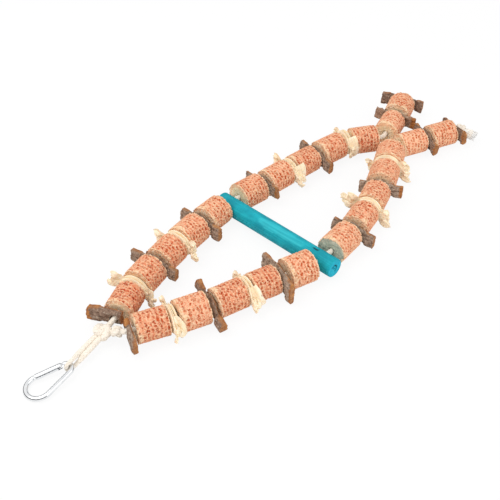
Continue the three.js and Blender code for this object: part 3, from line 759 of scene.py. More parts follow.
def make_bark(node, tone, bare, chunk=4.8, extra=0.0):
    """A curled strip of bark: crusted and cracked outside, fibrous inside, sawn across at its ends. It has
    lost its crust for the given lengths at its left and right ends. Its free ends are as thick as chunk, and
    some strips have extra thickness on their crusted side."""
    bead = BEADS[node]
    draw = np.random.default_rng(bead.seed)
    right, left = bead.low[1], bead.high[1]
    nip = BARK_SAWN_EDGE / (left - right)
    stops = np.concatenate(((0, nip), np.linspace(2 * nip, 1 - 2 * nip, 54), (1 - nip, 1)))
    t, s = np.meshgrid(stops, np.linspace(-1, 1, 21), indexing="ij")

    def patchy(across, along, move=0.0, octaves=2, scale=1.0):
        return clouds(spots(across, along, 0 * s) * scale + bead.seed + move, 1.0, octaves)

    slant = draw.uniform(-0.5, 0.5, 2)
    chip = [0.9 * np.clip(patchy(1.6 * s, 0 * s, move, 3), 0, 1) + 0.35 * np.abs(s) ** 8 for move in (5, 31)]
    y = (right + abs(slant[0]) + slant[0] * s + chip[0]) * (1 - t)
    y = y + (left - abs(slant[1]) - slant[1] * s - chip[1]) * t
    free = eased(np.abs(y), 11.0, COB_FACE + 0.5)
    half = bead.high[2] * (0.96 - 0.1 * patchy(2 * s, 0.12 * y, 60))
    if not node.endswith(("bark_1", "bark_7")):
        held = np.sqrt(np.clip((min(cobs_beside(node)) - BARK_BELOW_RIM) ** 2 - y ** 2, 0, None))
        half = (half ** 6 + held ** 6) ** (1 / 6)
    curl = 2 * np.arctan((BARK_HELD_DEPTH + (BARK_FREE_DEPTH - BARK_HELD_DEPTH) * free) / half)
    round_out = half / np.sin(curl)
    wide = s * half
    ridges = patchy(0.5 * wide, 0.12 * y, 0, 3)
    grit = patchy(wide, y, 40, 3, 0.9)
    crack = eased(np.abs(patchy(0.26 * wide, 0.09 * y, 9)), 0.05, 0.0)
    # The furrows and cracks are sunk here, and the finish paints dark brown into them, partly as painted shade.
    furrow = np.maximum(0.7 * eased(-ridges, 0.12, 0.5), crack)
    torn = 1.6 * patchy(0.5 * wide, 0.3 * y, 80)
    bared = np.zeros_like(s)
    for length, away in zip(bare, (left - y, y - right)):
        if length:
            bared = np.maximum(bared, 1 - eased(away + torn, length, length + 0.8))
    crag = free * np.clip(patchy(0.2 * wide, 0.14 * y, 3, 3), -1, 0.1)
    sunk = 0.1 + 0.7 * furrow * (1 - bared) + 0.55 * np.clip(-grit, 0, 1) - 1.3 * crag + 0.6 * bared
    sunk = sunk + 0.3 * (np.minimum(t, 1 - t) < 0.5 * nip)
    thickness = BARK_THICKNESS + (chunk - BARK_THICKNESS) * free
    thickness = thickness * (1 - 0.3 * s ** 4) * (1 + 0.12 * patchy(0.3 * wide, 0.1 * y, 70))
    bow = draw.uniform(-0.6, 0.6, 2)
    lean = np.where(y > 0, bow[0], bow[1]) * (np.clip(np.abs(y) - COB_FACE, 0, None) / 8) ** 2

    def shell(depth):
        r = round_out - depth
        x = bead.crown * (bead.length / 2 - round_out + r * np.cos(s * curl)) + lean
        return spots(x, y, r * np.sin(s * curl))

    outside = shell(sunk)
    room = 1 if node.endswith("bark_1") else free
    outside[:, :, 0] += bead.crown * extra * room * (1 - 0.6 * s ** 6)
    inside = shell(np.maximum(thickness, sunk + 0.8))
    crust = bared.copy()
    crust[:, [0, -1]] = np.maximum(crust, 0.5 * free)[:, [0, -1]]
    crust[[0, -1]] = 0.7
    # A strip that turns its hollow side to the hook has kept some crust there.
    backed = np.ones_like(s) if bead.crown < 0 else np.maximum(0.25, bared)
    form = strip(outside, inside, place=two_sided(outside, inside) + bead.seed, tone=tone,
                 inner=two_sided(crust, backed), furrow=two_sided(furrow, 0 * s))
    piece = make_piece(bead.named("bark_strip"), form, "bark", node, 40, bead.world)
    cut_away(piece, bead.cord_hole(BARK_HOLE_RADIUS))
    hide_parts(node)


# Husk strips

def husk_form(front, back, place, crease):
    return strip(front, back, place=np.concatenate((place, place), 1), crease=two_sided(crease, crease))


def let_go(bead, y, z):
    """0 where the cobs on both sides hold a husk, 1 where it is clear of them."""
    around = max(cobs_beside(bead.node))
    return eased(np.hypot(y, z), around + HUSK_RIM_ROOM, around + HUSK_LET_GO)


def husk_lobe(bead, end, angle, length, half, rise):
    """A pleated leaf end that fans out of one end, torn off at a slant. Its angle is from level, and its rise
    is along the cord."""
    t, w = np.meshgrid(np.linspace(0, 1, 17), np.linspace(-1, 1, 19), indexing="ij")
    lift = math.radians(angle)
    outline = half * (0.72 + 0.4 * t) * np.sqrt(1 - 0.9 * np.clip((t - 0.82) / 0.18, 0, 1) ** 2)
    slant = HUSK_SLANT * (1 if angle > 0 else -1)
    root = HUSK_HELD - 2
    spot = spots(root + length * t, w * half, rise) + bead.seed + angle
    uneven = clouds(spot, 0.2)
    wrinkle = clouds(spot * (0.3, 1.0, 1.0), 0.6)
    outline = outline * (1 + 0.18 * uneven)
    pleat = np.sin(2.4 * math.pi * w + 5 * lift + 1.5 * uneven)
    along = length * t * (1 + slant * w + 0.1 * wrinkle * t)
    y = root + along * math.cos(lift) - outline * w * math.sin(lift)
    z = along * math.sin(lift) + outline * w * math.cos(lift)
    clear = let_go(bead, y, z)
    middle = rise * (0.35 + 0.9 * clear) - 0.6 * np.sign(rise) * clear * w ** 2 + 0.7 * clear * uneven
    middle = middle + HUSK_PLEAT * clear * pleat * (0.5 + 0.5 * t)
    body = (0.5 + 0.9 * clear * (1 - 0.55 * t ** 6)) * np.sqrt(1.02 - np.abs(w) ** 3) + 0.25 * clear * wrinkle
    z = np.maximum(z, bead.at_level(HUSK_ABOVE_FLOOR, end * y))
    highest = bead.at_level(HUSK_TOP, end * y)
    z = np.where(z > highest, highest + 0.1 * (z - highest), z)
    front, back = (spots(middle + way * body, end * y, z) for way in (1, -1))
    # Painted shade along the edges, in the wrinkles, at the root and in the pleats' hollows.
    crease = 0.6 * (1 - eased(1 - np.abs(w), 0.0, 0.14)) + 0.4 * eased(-wrinkle, 0.15, 0.6) + 0.5 * (t < 0.2)
    crease = np.clip(crease + 0.7 * clear * eased(np.sign(rise) * pleat, 0.55, 1.0), 0, 1)
    return husk_form(front, back, spots(w * half, length * t, rise) + bead.seed + angle, crease)


def husk_flap(bead, end, low, high, reach, shares):
    """A leaf's loose end laid over the next cob, between two angles below level. It reaches along the cord by
    its shares of the reach at the upper edge, in the middle and at the lower edge."""
    t, w = np.meshgrid(np.linspace(0, 1, 16), np.linspace(-1, 1, 19), indexing="ij")
    spot = spots(reach * t, 9 * w, 0 * t) + bead.seed + low
    uneven = clouds(spot, 0.18)
    wrinkle = clouds(spot * (0.4, 1.0, 1.0), 0.5)
    span = (high - low) / 2 * (1 + 0.1 * uneven * t)
    angle = np.radians((low + high) / 2 + span * w)
    share = shares[0] * w * (w - 1) / 2 + shares[1] * (1 - w ** 2) + shares[2] * w * (w + 1) / 2
    x = -1.0 + reach * t * share * (1 + 0.1 * uneven + 0.06 * wrinkle)
    over = eased(x, -0.5, 3.0)
    pleat = np.sin(3.2 * math.pi * t + 2.5 * uneven)
    r = cobs_beside(bead.node)[1] + 0.3 + HUSK_FLAP - (1 - over) * 4.5
    r = r + over * (0.4 * np.clip(uneven, 0, 1) + 0.35 * (1 + pleat) / 2)
    body = HUSK_FLAP / 2 * np.sqrt(1.02 - np.maximum(np.abs(w), np.abs(2 * t - 1)) ** 6)
    sides = []
    for way in (1, -1):
        y, z = end * (r + way * body) * np.cos(angle), -(r + way * body) * np.sin(angle)
        sides.append(spots(x, y, np.maximum(z, bead.at_level(HUSK_ABOVE_FLOOR, y) + 0.2 * way)))
    # Painted shade in the wrinkles and in the pleats' hollows.
    crease = np.clip(0.4 * eased(-wrinkle, 0.1, 0.5) + 0.6 * eased(-pleat, 0.6, 1.0), 0, 1)
    return husk_form(*sides, spots(w * 9, reach * t, 0 * t) + bead.seed + low, crease)


def make_husk(node, tips, droop, lean, lumps, lobes, flap=None):
    """A husk leaf folded to and fro in three layers, flat between the cobs and plump where they let it go.
    Its left and right ends each have a half width and a lumpiness. The right one may hang, and lean along
    the cord. Lobes are more folds, each at the left (1) or right (-1) end. A flap is a loose end over the
    next cob."""
    bead = BEADS[node]
    left, right = bead.high[1] - HUSK_FOLD_BACK, -bead.low[1] - HUSK_FOLD_BACK
    turn_left, turn_right = left - HUSK_TURN_REACH, HUSK_TURN_REACH - right
    bend = HUSK_PITCH / 2
    route = []
    for x, start, stop, way in (
        (-HUSK_PITCH, turn_right + HUSK_RAW_EDGE, turn_left, 1),
        (0.0, turn_left, turn_right, -1),
        (HUSK_PITCH, turn_right, turn_left - HUSK_RAW_EDGE, 0),
    ):
        route += [(x, y) for y in np.linspace(start, stop, 36)]
        if way:
            angles = [math.pi * step / 8 for step in range(1, 8)]
            route += [(x + bend - bend * math.cos(a), stop + way * bend * math.sin(a)) for a in angles]
    route = np.array(route)
    rows, columns = len(route), 21
    w = np.linspace(-1, 1, columns)
    x0, y0 = np.repeat(route[:, :1], columns, 1), np.repeat(route[:, 1:], columns, 1)

    def ends(pair):
        return np.where(y0 > 0, pair[0], pair[1])

    beyond = np.clip((np.abs(y0) - HUSK_HELD) / (ends((left, right)) - HUSK_HELD), 0, 1)
    ragged = clouds(spots(y0, np.sign(w) * 9, 0 * y0) + bead.seed, 0.16, 3)
    held = np.sqrt(np.clip((min(cobs_beside(node)) - HUSK_BELOW_RIM) ** 2 - y0 ** 2, 0, None))
    half = ends(tips) * np.sqrt(1 - 0.85 * np.clip((beyond - 0.7) / 0.3, 0, 1) ** 2)
    half = (half ** 4 + held ** 4) ** 0.25
    clear = let_go(bead, y0, half * w)
    # The middle layer is narrower, so that the outer two close over it like a packet.
    half = half * (0.82 + 0.18 * np.abs(x0) / HUSK_PITCH) * (1 + 0.24 * ragged * clear)
    z = np.maximum(half * w - ends((0.0, droop)) * beyond ** 2, bead.at_level(HUSK_ABOVE_FLOOR, y0))
    spot = spots(y0, z, 0 * z)
    wave = clouds(spot + bead.seed, 0.11)
    lump = clouds(spot + bead.seed + 20, 0.2)
    wrinkle = clouds(spot * (0.25, 1.0, 1.0) + bead.seed + 33, 0.5)
    fold = eased(np.abs(clouds(spot * (0.6, 1.0, 1.0) + bead.seed + 51, 0.16)), 0.07, 0.0)
    x = x0 * (1 - (0.15 + 0.35 * clear) * np.abs(w) ** 4) * (1 + 0.3 * clear) + wave * (0.1 + 1.5 * clear)
    bulge = 1.9 * ends(lumps) * lump + 0.4 * wrinkle - 0.55 * fold
    x = x + x0 / HUSK_PITCH * clear * bulge + ends((0.0, lean)) * beyond ** 1.5
    # A lumpy end parts in the middle, where the leaf is tied round itself.
    cleft = 3.2 * ends(lumps) * np.exp(-((w[None, :] - 0.15) / 0.28) ** 2) * beyond ** 2
    surface = spots(x, y0 - np.sign(y0) * cleft, z)
    normal = np.cross(np.gradient(surface, axis=0), np.gradient(surface, axis=1))
    normal /= np.linalg.norm(normal, axis=2, keepdims=True)
    raw = np.ones(rows)
    raw[:3] = raw[-1:-4:-1] = (0.45, 0.75, 0.95)
    plump = 1 + 0.3 * clear
    body = (HUSK_THICKNESS / 2 * plump * np.sqrt(1.02 - w ** 4) * raw[:, None])[:, :, None]
    # Painted shade in the hollows between lumps, in the wrinkles and folds, and along the edges where the cobs
    # let the leaf go.
    crease = 0.8 * eased(-lump * ends(lumps), 0.1, 0.45) + 0.35 * eased(-wrinkle, 0.2, 0.6)
    crease = crease + 0.9 * fold * clear + 0.5 * clear * (1 - eased(1 - np.abs(w), 0.0, 0.1))[None, :]
    crease = np.clip(crease, 0, 1)
    place = spots(w * 8, y0, x0 * 3) + bead.seed
    forms = [husk_form(surface + normal * body, surface - normal * body, place, crease)]
    forms += [husk_lobe(bead, *lobe) for lobe in lobes]
    if flap:
        forms.append(husk_flap(bead, *flap))
    piece = make_piece(bead.named("husk_fold"), joined(forms), "husk", node, 60, bead.world)
    cut_away(piece, bead.cord_hole(HUSK_HOLE_RADIUS))
    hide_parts(node)


# Cord

def along_route(route):
    """How far along a route each of its points lies."""
    return np.concatenate(((0.0,), np.cumsum(np.linalg.norm(np.diff(route, axis=0), axis=1))))


def even_route(points, step):
    """Rounds off a route's corners and gives points at even steps along it, and how far along they lie."""
    route = np.asarray(points, float)
    for _ in range(3):
        low, high = route[:-1], route[1:]
        corner = np.empty((2 * len(low), 3))
        corner[0::2] = 0.75 * low + 0.25 * high
        corner[1::2] = 0.25 * low + 0.75 * high
        route = np.concatenate((route[:1], corner, route[-1:]))
    run = along_route(route)
    at = np.linspace(0, run[-1], max(4, round(run[-1] / step)) + 1)
    return np.stack([np.interp(at, run, route[:, axis]) for axis in range(3)], -1), at


def carried_frames(route):
    """Tangents and two sideways directions that turn with the route without twisting."""
    tangent = np.gradient(route, axis=0)
    tangent /= np.linalg.norm(tangent, axis=1, keepdims=True)
    side = square_to(tangent[0])[0]
    sides = []
    for t in tangent:
        side = unit(side - t * (side @ t))
        sides.append(side)
    sides = np.array(sides)
    return tangent, sides, np.cross(tangent, sides)


def tube_net(route, radii, sides):
    """Rings of points round a route."""
    _, side, rise = carried_frames(route)
    turn = turns(sides)[None, :, None]
    radii = np.broadcast_to(np.asarray(radii, float), (len(route),))[:, None, None]
    return route[:, None, :] + radii * (np.cos(turn) * side[:, None, :] + np.sin(turn) * rise[:, None, :])


def braid(points, radius, step, pinch):
    """A form of eight yarns plaited round a route, four each way, over a plain core. A pinch is a place where
    the cord is drawn tight."""
    route, run = even_route(points, step)
    tangent, side, rise = carried_frames(route)
    tight = np.ones(len(route))
    if pinch is not None:
        tight -= PINCH * (1 - eased(np.linalg.norm(route - pinch, axis=1), 4, 12))
    thick, wide, sway = 0.25 * radius, 0.54 * radius, 0.06 * radius
    middle = radius - thick - sway
    slope = math.atan(2 * math.pi * middle / BRAID_LEAD)
    around = turns(YARN_SIDES)
    flank, crest = wide * np.cos(around), thick * np.sin(around)
    # Painted shade on each yarn's side towards the core and on its flanks, where it meets its neighbours.
    crease = np.clip(-np.sin(around) * 0.5, 0, 1) + 0.25 * np.abs(np.cos(around)) ** 3
    forms = []
    for way in (1, -1):
        for yarn in range(4):
            turn = (way * 2 * math.pi * run / BRAID_LEAD + yarn * math.pi / 2)[:, None]
            lift = way * sway * np.cos(8 * math.pi * run / BRAID_LEAD)
            out = np.cos(turn) * side + np.sin(turn) * rise
            round_way = -np.sin(turn) * side + np.cos(turn) * rise
            flat = round_way * math.cos(slope) - way * tangent * math.sin(slope)
            spine = route + out * ((middle + lift) * tight)[:, None]
            ring = flank[None, :, None] * flat[:, None, :] + crest[None, :, None] * out[:, None, :]
            net = spine[:, None, :] + ring * tight[:, None, None]
            place = spots(flank, run[:, None], crest + yarn * 5 + way * 40)
            forms.append(tube(net, place=place, crease=crease))
    # The core shows only between the yarns, and carries painted shade all over.
    core = tube_net(route, (middle - 0.2 * thick) * tight, YARN_SIDES)
    forms.append(tube(core, place=spots(0 * around, run[:, None], 0.0), crease=0.6))
    return joined(forms)


def make_cord(name, points, body=None, radius=CORD_RADIUS, step=BRAID_STEP, pinch=None):
    return make_piece(name, braid(points, radius, step, pinch), "cotton_cord", body)


def make_knot(name, centre, axes, half, body, turn, radius):
    """A tied lump: the cord drawn tight in a three-lobed knot of a given half size along each axis."""
    t = np.linspace(0, 2 * math.pi, 60) + turn
    lobes = spots(np.sin(3 * t), (np.sin(t) + 2 * np.sin(2 * t)) / 2.6, (np.cos(t) - 2 * np.cos(2 * t)) / 2.6)
    reach = np.asarray(half) - radius
    return make_cord(name, centre + (lobes * reach) @ axes, body, radius, KNOT_STEP)


def bead_route(side, order):
    """The cord's points through a run of beads."""
    points = []
    for bead in order:
        found = BEADS[f"{side}_{bead}"]
        points.extend(found.ends() if bead.startswith("cob") else [found.origin])
    return points


def make_tuft(name, start, axes, body, seed):
    """The frayed end of a cord: a furrowed brush of yarn, and loose filaments spread round it."""
    draw = np.random.default_rng(seed)
    forms = []
    steps, sides = 7, 3
    t = np.linspace(0, 1, steps)
    for strand in range(TUFT_STRANDS):
        ring, angle = draw.uniform() ** 0.7, draw.uniform(0, 2 * math.pi)
        out = np.array((0, math.cos(angle), math.sin(angle)))
        length = TUFT_LENGTH * draw.uniform(0.6, 1.0)
        bow = draw.normal(0, 0.5, 3)
        spread = 1.8 * ring + (3.2 * ring + draw.normal(0, 0.5)) * t ** 1.2 * (1.15 - 0.35 * t)
        local = np.outer(t * length, (1, 0, 0)) + np.outer(spread, out)
        local = local + np.outer(np.sin(math.pi * t) * 0.6, bow)
        route = start + local @ axes
        route[:, 2] = np.maximum(route[:, 2], STRAND_ABOVE_FLOOR)
        net = tube_net(route, FILAMENT_RADIUS * (1 - 0.7 * t), sides)
        place = spots(strand * 0.7, t[:, None] * length, np.zeros((steps, sides)))
        # Painted shade: darker towards the root, deep in the tuft.
        forms.append(tube(net, place=place, crease=0.15 * (1 - t)[:, None], frayed=eased(t, 0, 0.3)[:, None]))
    # The brush: a soft cone with a furrow between each two hanks, closed at both ends.
    rows, around = 14, 40
    s = np.linspace(0, 1, rows)
    route = start + np.outer(s * TUFT_CORE * TUFT_LENGTH, (1, 0, 0)) @ axes
    route[:, 2] = np.maximum(route[:, 2], BRUSH_ABOVE_FLOOR)
    hanks = 1 + 0.12 * np.cos(np.arange(around) * math.pi / 2 + draw.normal(0, 0.5, around))
    radii = (1.9 + 2.9 * s ** 0.8) * np.sqrt(1 - 0.9 * np.clip((s - 0.7) / 0.3, 0, 1) ** 2)
    cone = tube_net(route, radii, around)
    cone = route[:, None] + (cone - route[:, None]) * hanks[None, :, None]
    place = spots(np.arange(around) * 0.5, s[:, None] * TUFT_LENGTH, 0.0)
    # Painted shade in the furrows between the hanks.
    forms.append(tube(cone, place=place, crease=np.clip(5 * (1 - hanks), 0, 0.6), frayed=0.2))
    make_piece(name, joined(forms), "cotton_cord", body)


KNOT = joint_place("hanger_fold")
HOLE_WAY = np.array((math.cos(PERCH_HOLE_HEADING), math.sin(PERCH_HOLE_HEADING), 0.0))


def make_strand(side):
    """One strand's cord in three stretches, with the knots on it and its frayed end."""
    first = BEADS[f"{side}_bark_1"]
    lead_end = first.origin - first.along * (first.length / 2 + BEAD_CLEARANCE)
    lead = unit(lead_end - KNOT)
    hole = joint_place(f"{side}_tail_fold") + UP * PERCH_DROP
    bend = joint_place(f"{side}_tip_fold")

    top = [KNOT + lead * CORD_IN_KNOT, lead_end, *bead_route(side, TOP_ORDER), hole - HOLE_WAY * PERCH_RADIUS,
           hole + HOLE_WAY * UPPER_IN_HOLE]
    piece = make_cord(f"cord_{side}_upper", top, "root")
    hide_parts(f"{side}_cord_top")

    tenth, sixth = BEADS[f"{side}_cob_10"], BEADS[f"{side}_cob_6"]
    middle_beads = bead_route(side, MIDDLE_ORDER)[:-1]
    middle = [hole + HOLE_WAY * LOWER_IN_HOLE, hole + HOLE_WAY * PERCH_RADIUS, *middle_beads, tenth.origin]
    piece = make_cord(f"cord_{side}_lower", middle)
    enter = sixth.ends()[0] - sixth.along * BEAD_CLEARANCE
    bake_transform(piece)
    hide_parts(f"{side}_cord_middle")

    last, eleventh = BEADS[f"{side}_bark_7"], BEADS[f"{side}_cob_11"]
    knot = last.origin + last.along * (last.length / 2 + BEAD_CLEARANCE + END_KNOT_HALF[0])
    tail = [tenth.origin, tenth.ends()[1], bend, *bead_route(side, TIP_ORDER), knot]
    piece = make_cord(f"cord_{side}_tail", tail)
    tenth.ends()[1] * MM
    eleventh.ends()[0] * MM
    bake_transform(piece)
    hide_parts(f"{side}_cord_tip")
    across = square_to(last.along)
    axes = np.array((last.along, *across))
    make_knot(f"end_knot_{side}", knot, axes, END_KNOT_HALF, f"{side}_tip", 0.4, SMALL_KNOT_CORD)
    onward, aside, down = TUFT_FALL[side]
    fall = unit(last.along * onward - across[0] * aside - UP * down)
    axes = np.array((fall, *square_to(fall)))
    make_tuft(f"frayed_end_{side}", knot + fall * 1.5, axes, f"{side}_tip", seed_of(side))

    if side == "right":
        axes = np.array((lead, *square_to(lead)))
        stopper = KNOT + lead * (KNOT_HALF[1] + 0.3 + STOPPER_HALF[0])
        make_knot("stopper_knot", stopper, axes, STOPPER_HALF, "root", 1.1, SMALL_KNOT_CORD)


def make_hanger():
    """The cord's bight from the top knot round the hook's wire, and the top knot itself."""
    eye = joint_place("hook_swing")
    fold = joint_axis("hanger_fold")
    along = unit((KNOT - eye) * (1, 1, 0))
    swing = joint_axis("hook_swing")
    outward = np.array((-swing[1], swing[0], 0.0))
    length = np.linalg.norm((KNOT - eye)[:2])
    # From the knot to the hook: distance, and how far a leg lies beside its twin and above or below it.
    stations = ((4.5, 1.7, 0.0), (10, 2.05, 0.0), (length / 2, 2.15, 0.0), (length - 12, 2.0, 0.05),
                (length - 8, 1.7, 0.3), (length - 4.5, 0.7, 0.7), (length, 0.0, 1.0))

    def leg(way):
        points = []
        for back, aside, rise in stations:
            level = (KNOT[2] * (length - back) + eye[2] * back) / length
            spot = KNOT - along * back + fold * way * aside
            spot[2] = level + way * rise * LOOP_BEND_RADIUS
            points.append(spot)
        return points

    bight = []
    for step in range(1, 12):
        angle = math.pi / 2 - math.pi * step / 12
        bight.append(eye + LOOP_BEND_RADIUS * (math.cos(angle) * outward + math.sin(angle) * UP))
    loop = make_cord("hanger_loop_cord", [*leg(1), *bight, *leg(-1)[::-1]], "hanger", pinch=eye)
    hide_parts("hanger_loop")
    axes = np.array((along, fold, UP))
    knot = make_knot("top_knot_tied", KNOT, axes, KNOT_HALF, "root", 0.0, KNOT_CORD)
    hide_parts("top_knot")


# Perch

def make_perch():
    """The dowel: drilled for both strands, with a paler scar, a small dark dented spot and sawn ends."""
    axis = joint_axis("left_tail_fold")
    holes = [joint_place(f"{side}_tail_fold") for side in SIDES]
    reach = (node_points("perch") - holes[0]) @ axis
    start, end = holes[0] + axis * reach.min(), holes[0] + axis * reach.max()
    length = np.linalg.norm(end - start)
    axes = np.array((np.cross(axis, UP), axis, UP))
    columns = 72
    lip = np.array((0.0, 0.25, 0.7))
    stops = np.concatenate((lip, np.linspace(1.2, length - 1.2, 150), length - lip[::-1]))
    bevel = np.clip(np.minimum(stops, length - stops), 0, PERCH_BEVEL)
    size = PERCH_RADIUS - PERCH_BEVEL
    size = size + np.sqrt(np.clip(PERCH_BEVEL ** 2 - (PERCH_BEVEL - bevel) ** 2, 0, None))
    y, a = np.meshgrid(stops, turns(columns), indexing="ij")
    flat = spots(np.cos(a) * PERCH_RADIUS, y * 0.12, np.sin(a) * PERCH_RADIUS)
    uneven = clouds(flat, 0.12, 3)
    # The scar and the dark spot lie on the upper front of the dowel, measured from its right end.
    from_top = np.arctan2(np.cos(a), np.sin(a))
    frayed = clouds(flat * (1, 3, 1) + 15, 0.16, 3)
    far_off = np.hypot((y - PERCH_SCAR_PLACE) / PERCH_SCAR_HALF, (from_top + 0.35) / 0.55)
    scar = eased(1 - far_off + 0.35 * frayed, 0.0, 0.12)
    streak = eased(clouds(flat * (1, 0.4, 1) + 40, 0.5), -0.3, 0.4)
    # A small dark spot, dented into the surface and painted dark.
    far_off = np.hypot((y - PERCH_DARK_SPOT_PLACE) / PERCH_DARK_SPOT_HALF, (from_top - 0.1) / 0.2)
    knot = eased(1 - far_off, 0.0, 0.6)
    radius = size[:, None] - 0.12 + 0.12 * uneven - 0.2 * scar - 1.0 * knot
    net = spots(np.cos(a) * radius, y, np.sin(a) * radius)
    shares = np.linspace(0.95, 0.05, 14)

    def face(row, inward):
        """A sawn end from its rim to near its middle, and where its rings have split."""
        ring = net[row]
        middle = np.array((0.0, ring[0, 1], 0.0))
        found = np.array([middle + (ring - middle) * share for share in shares])
        across, upward = found[:, :, 0] + 0.6, found[:, :, 2]
        ringed = np.abs(np.hypot(across, upward) - 2.9) / 0.75
        slit = eased(1 - ringed, 0.0, 0.6) * eased(np.cos(np.arctan2(upward, across) - 0.5), -0.55, -0.2)
        slit = np.maximum(slit, eased(1 - np.hypot(across, upward) / 0.9, 0.0, 0.5))
        found[:, :, 1] += inward * (0.9 * slit + 0.12)
        return found, slit

    near, near_slit = face(0, 1)
    far, far_slit = face(-1, -1)
    full = np.concatenate((near[::-1], net, far))
    whole = np.ones((len(shares), columns))
    edge = np.zeros(y.shape)
    edge[[0, 1, -2, -1]] = 0.6
    form = tube(full, place=full, scar=np.concatenate((0 * whole, scar * (0.4 + 0.6 * streak), 0 * whole)),
                sawn=np.concatenate((whole, edge, whole)),
                knot=np.concatenate((near_slit[::-1], eased(knot, 0.3, 0.8), far_slit)))
    piece = make_piece("perch_dowel", form, "dyed_wood", "root", 50, lambda local: start + local @ axes)
    drills = [rod_tool(hole + UP * PERCH_DROP, HOLE_WAY, PERCH_HOLE_RADIUS, 40, 24) for hole in holes]
    cut_away(piece, *drills)
    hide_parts("perch")


# Snap hook

def on_arc(centre, radius, angle):
    return centre + radius * np.array((math.cos(angle), math.sin(angle), 0.0))


HOOK_EYE = joint_place("hook_swing")
SWING, HINGE = joint_axis("hook_swing"), joint_axis("gate_hinge")
HOOK_AXES = np.array((np.cross(SWING, HINGE), SWING, HINGE))
NARROW_CENTRE = np.array((-NARROW_RADIUS, 0.0, 0.0))
WIDE_CENTRE = np.array((WIDE_RADIUS - HOOK_REACH, 0.0, 0.0))
FLANK_ANGLE = math.acos((WIDE_RADIUS - NARROW_RADIUS) / (NARROW_CENTRE - WIDE_CENTRE)[0])
NOSE = on_arc(WIDE_CENTRE, WIDE_RADIUS, FLANK_ANGLE)
TONGUE = on_arc(NARROW_CENTRE, NARROW_RADIUS, FLANK_ANGLE)
GATE_WAY = unit(NOSE - TONGUE)
GATE_AXES = np.array((GATE_WAY, np.cross(UP, GATE_WAY), UP))
NOSE_AXES = GATE_AXES * ((-1,), (-1,), (1,))
PIN_AXES = np.array(((0.0, 0.0, 1.0), (1.0, 0.0, 0.0), (0.0, 1.0, 0.0)))
PIVOT = TONGUE + GATE_WAY * (GATE_RADIUS + GATE_CLEARANCE)
GATE_LENGTH = np.linalg.norm(NOSE - PIVOT) - GATE_CLEARANCE


def hook_world(local):
    return HOOK_EYE + np.asarray(local) @ HOOK_AXES


def gate_world(local):
    return hook_world(PIVOT + np.asarray(local) @ GATE_AXES)


def turned(stops, sides):
    """Points and faces turned about X from (x, radius) pairs, closed at both ends."""
    net = [[(x, r * math.cos(a), r * math.sin(a)) for a in turns(sides)] for x, r in stops]
    return np.reshape(net, (-1, 3)), tube_faces(len(stops), sides)


def plate(length, width, thickness):
    """Points and faces of a flat plate from behind the origin to a round end along X, with eased edges."""
    end = [(length - width / 2 + width / 2 * math.cos(a), width / 2 * math.sin(a))
           for a in np.linspace(-math.pi / 2, math.pi / 2, 13)]
    outline = np.array([(-PLATE_BACK, -width / 2), *end, (-PLATE_BACK, width / 2)])
    middle = outline.mean(0)
    top, inset = thickness / 2, 1 - PLATE_EASE
    layers = []
    for z, share in ((-top, inset), (-top + PLATE_EASE, 1), (top - PLATE_EASE, 1), (top, inset)):
        ring = middle + (outline - middle) * share
        layers.append(np.column_stack((ring, np.full(len(ring), z))))
    return np.concatenate(layers), tube_faces(4, len(outline))


def make_steel(name, points, faces, body, world, sharp=35):
    """A piece of the hook with its drawing lines along its own X."""
    form = points, faces, {"place": points[:, [1, 0, 2]]}
    return make_piece(name, form, "polished_steel", body, sharp, world)


def make_wire():
    """The hook's body: one bent wire, open where the gate is."""
    wide_turn = np.linspace(FLANK_ANGLE, 2 * math.pi - FLANK_ANGLE, 64)
    route = [on_arc(WIDE_CENTRE, WIDE_RADIUS, a) for a in wide_turn]
    start, end = route[-1], on_arc(NARROW_CENTRE, NARROW_RADIUS, -FLANK_ANGLE)
    route += [start + (end - start) * share for share in np.linspace(0, 1, 14)[1:-1]]
    route += [on_arc(NARROW_CENTRE, NARROW_RADIUS, a) for a in np.linspace(-FLANK_ANGLE, FLANK_ANGLE, 44)]
    route = np.array(route)
    radii = np.full(len(route), WIRE_RADIUS)
    radii[[0, -1]] -= 0.15
    around = turns(WIRE_SIDES)
    lines = spots(np.cos(around) * 2, along_route(route)[:, None], np.sin(around) * 2)
    form = tube(tube_net(route, radii, WIRE_SIDES), place=lines)
    wire = make_piece("hook_wire", form, "polished_steel", "hook", 40, hook_world)
    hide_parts("hook_body")


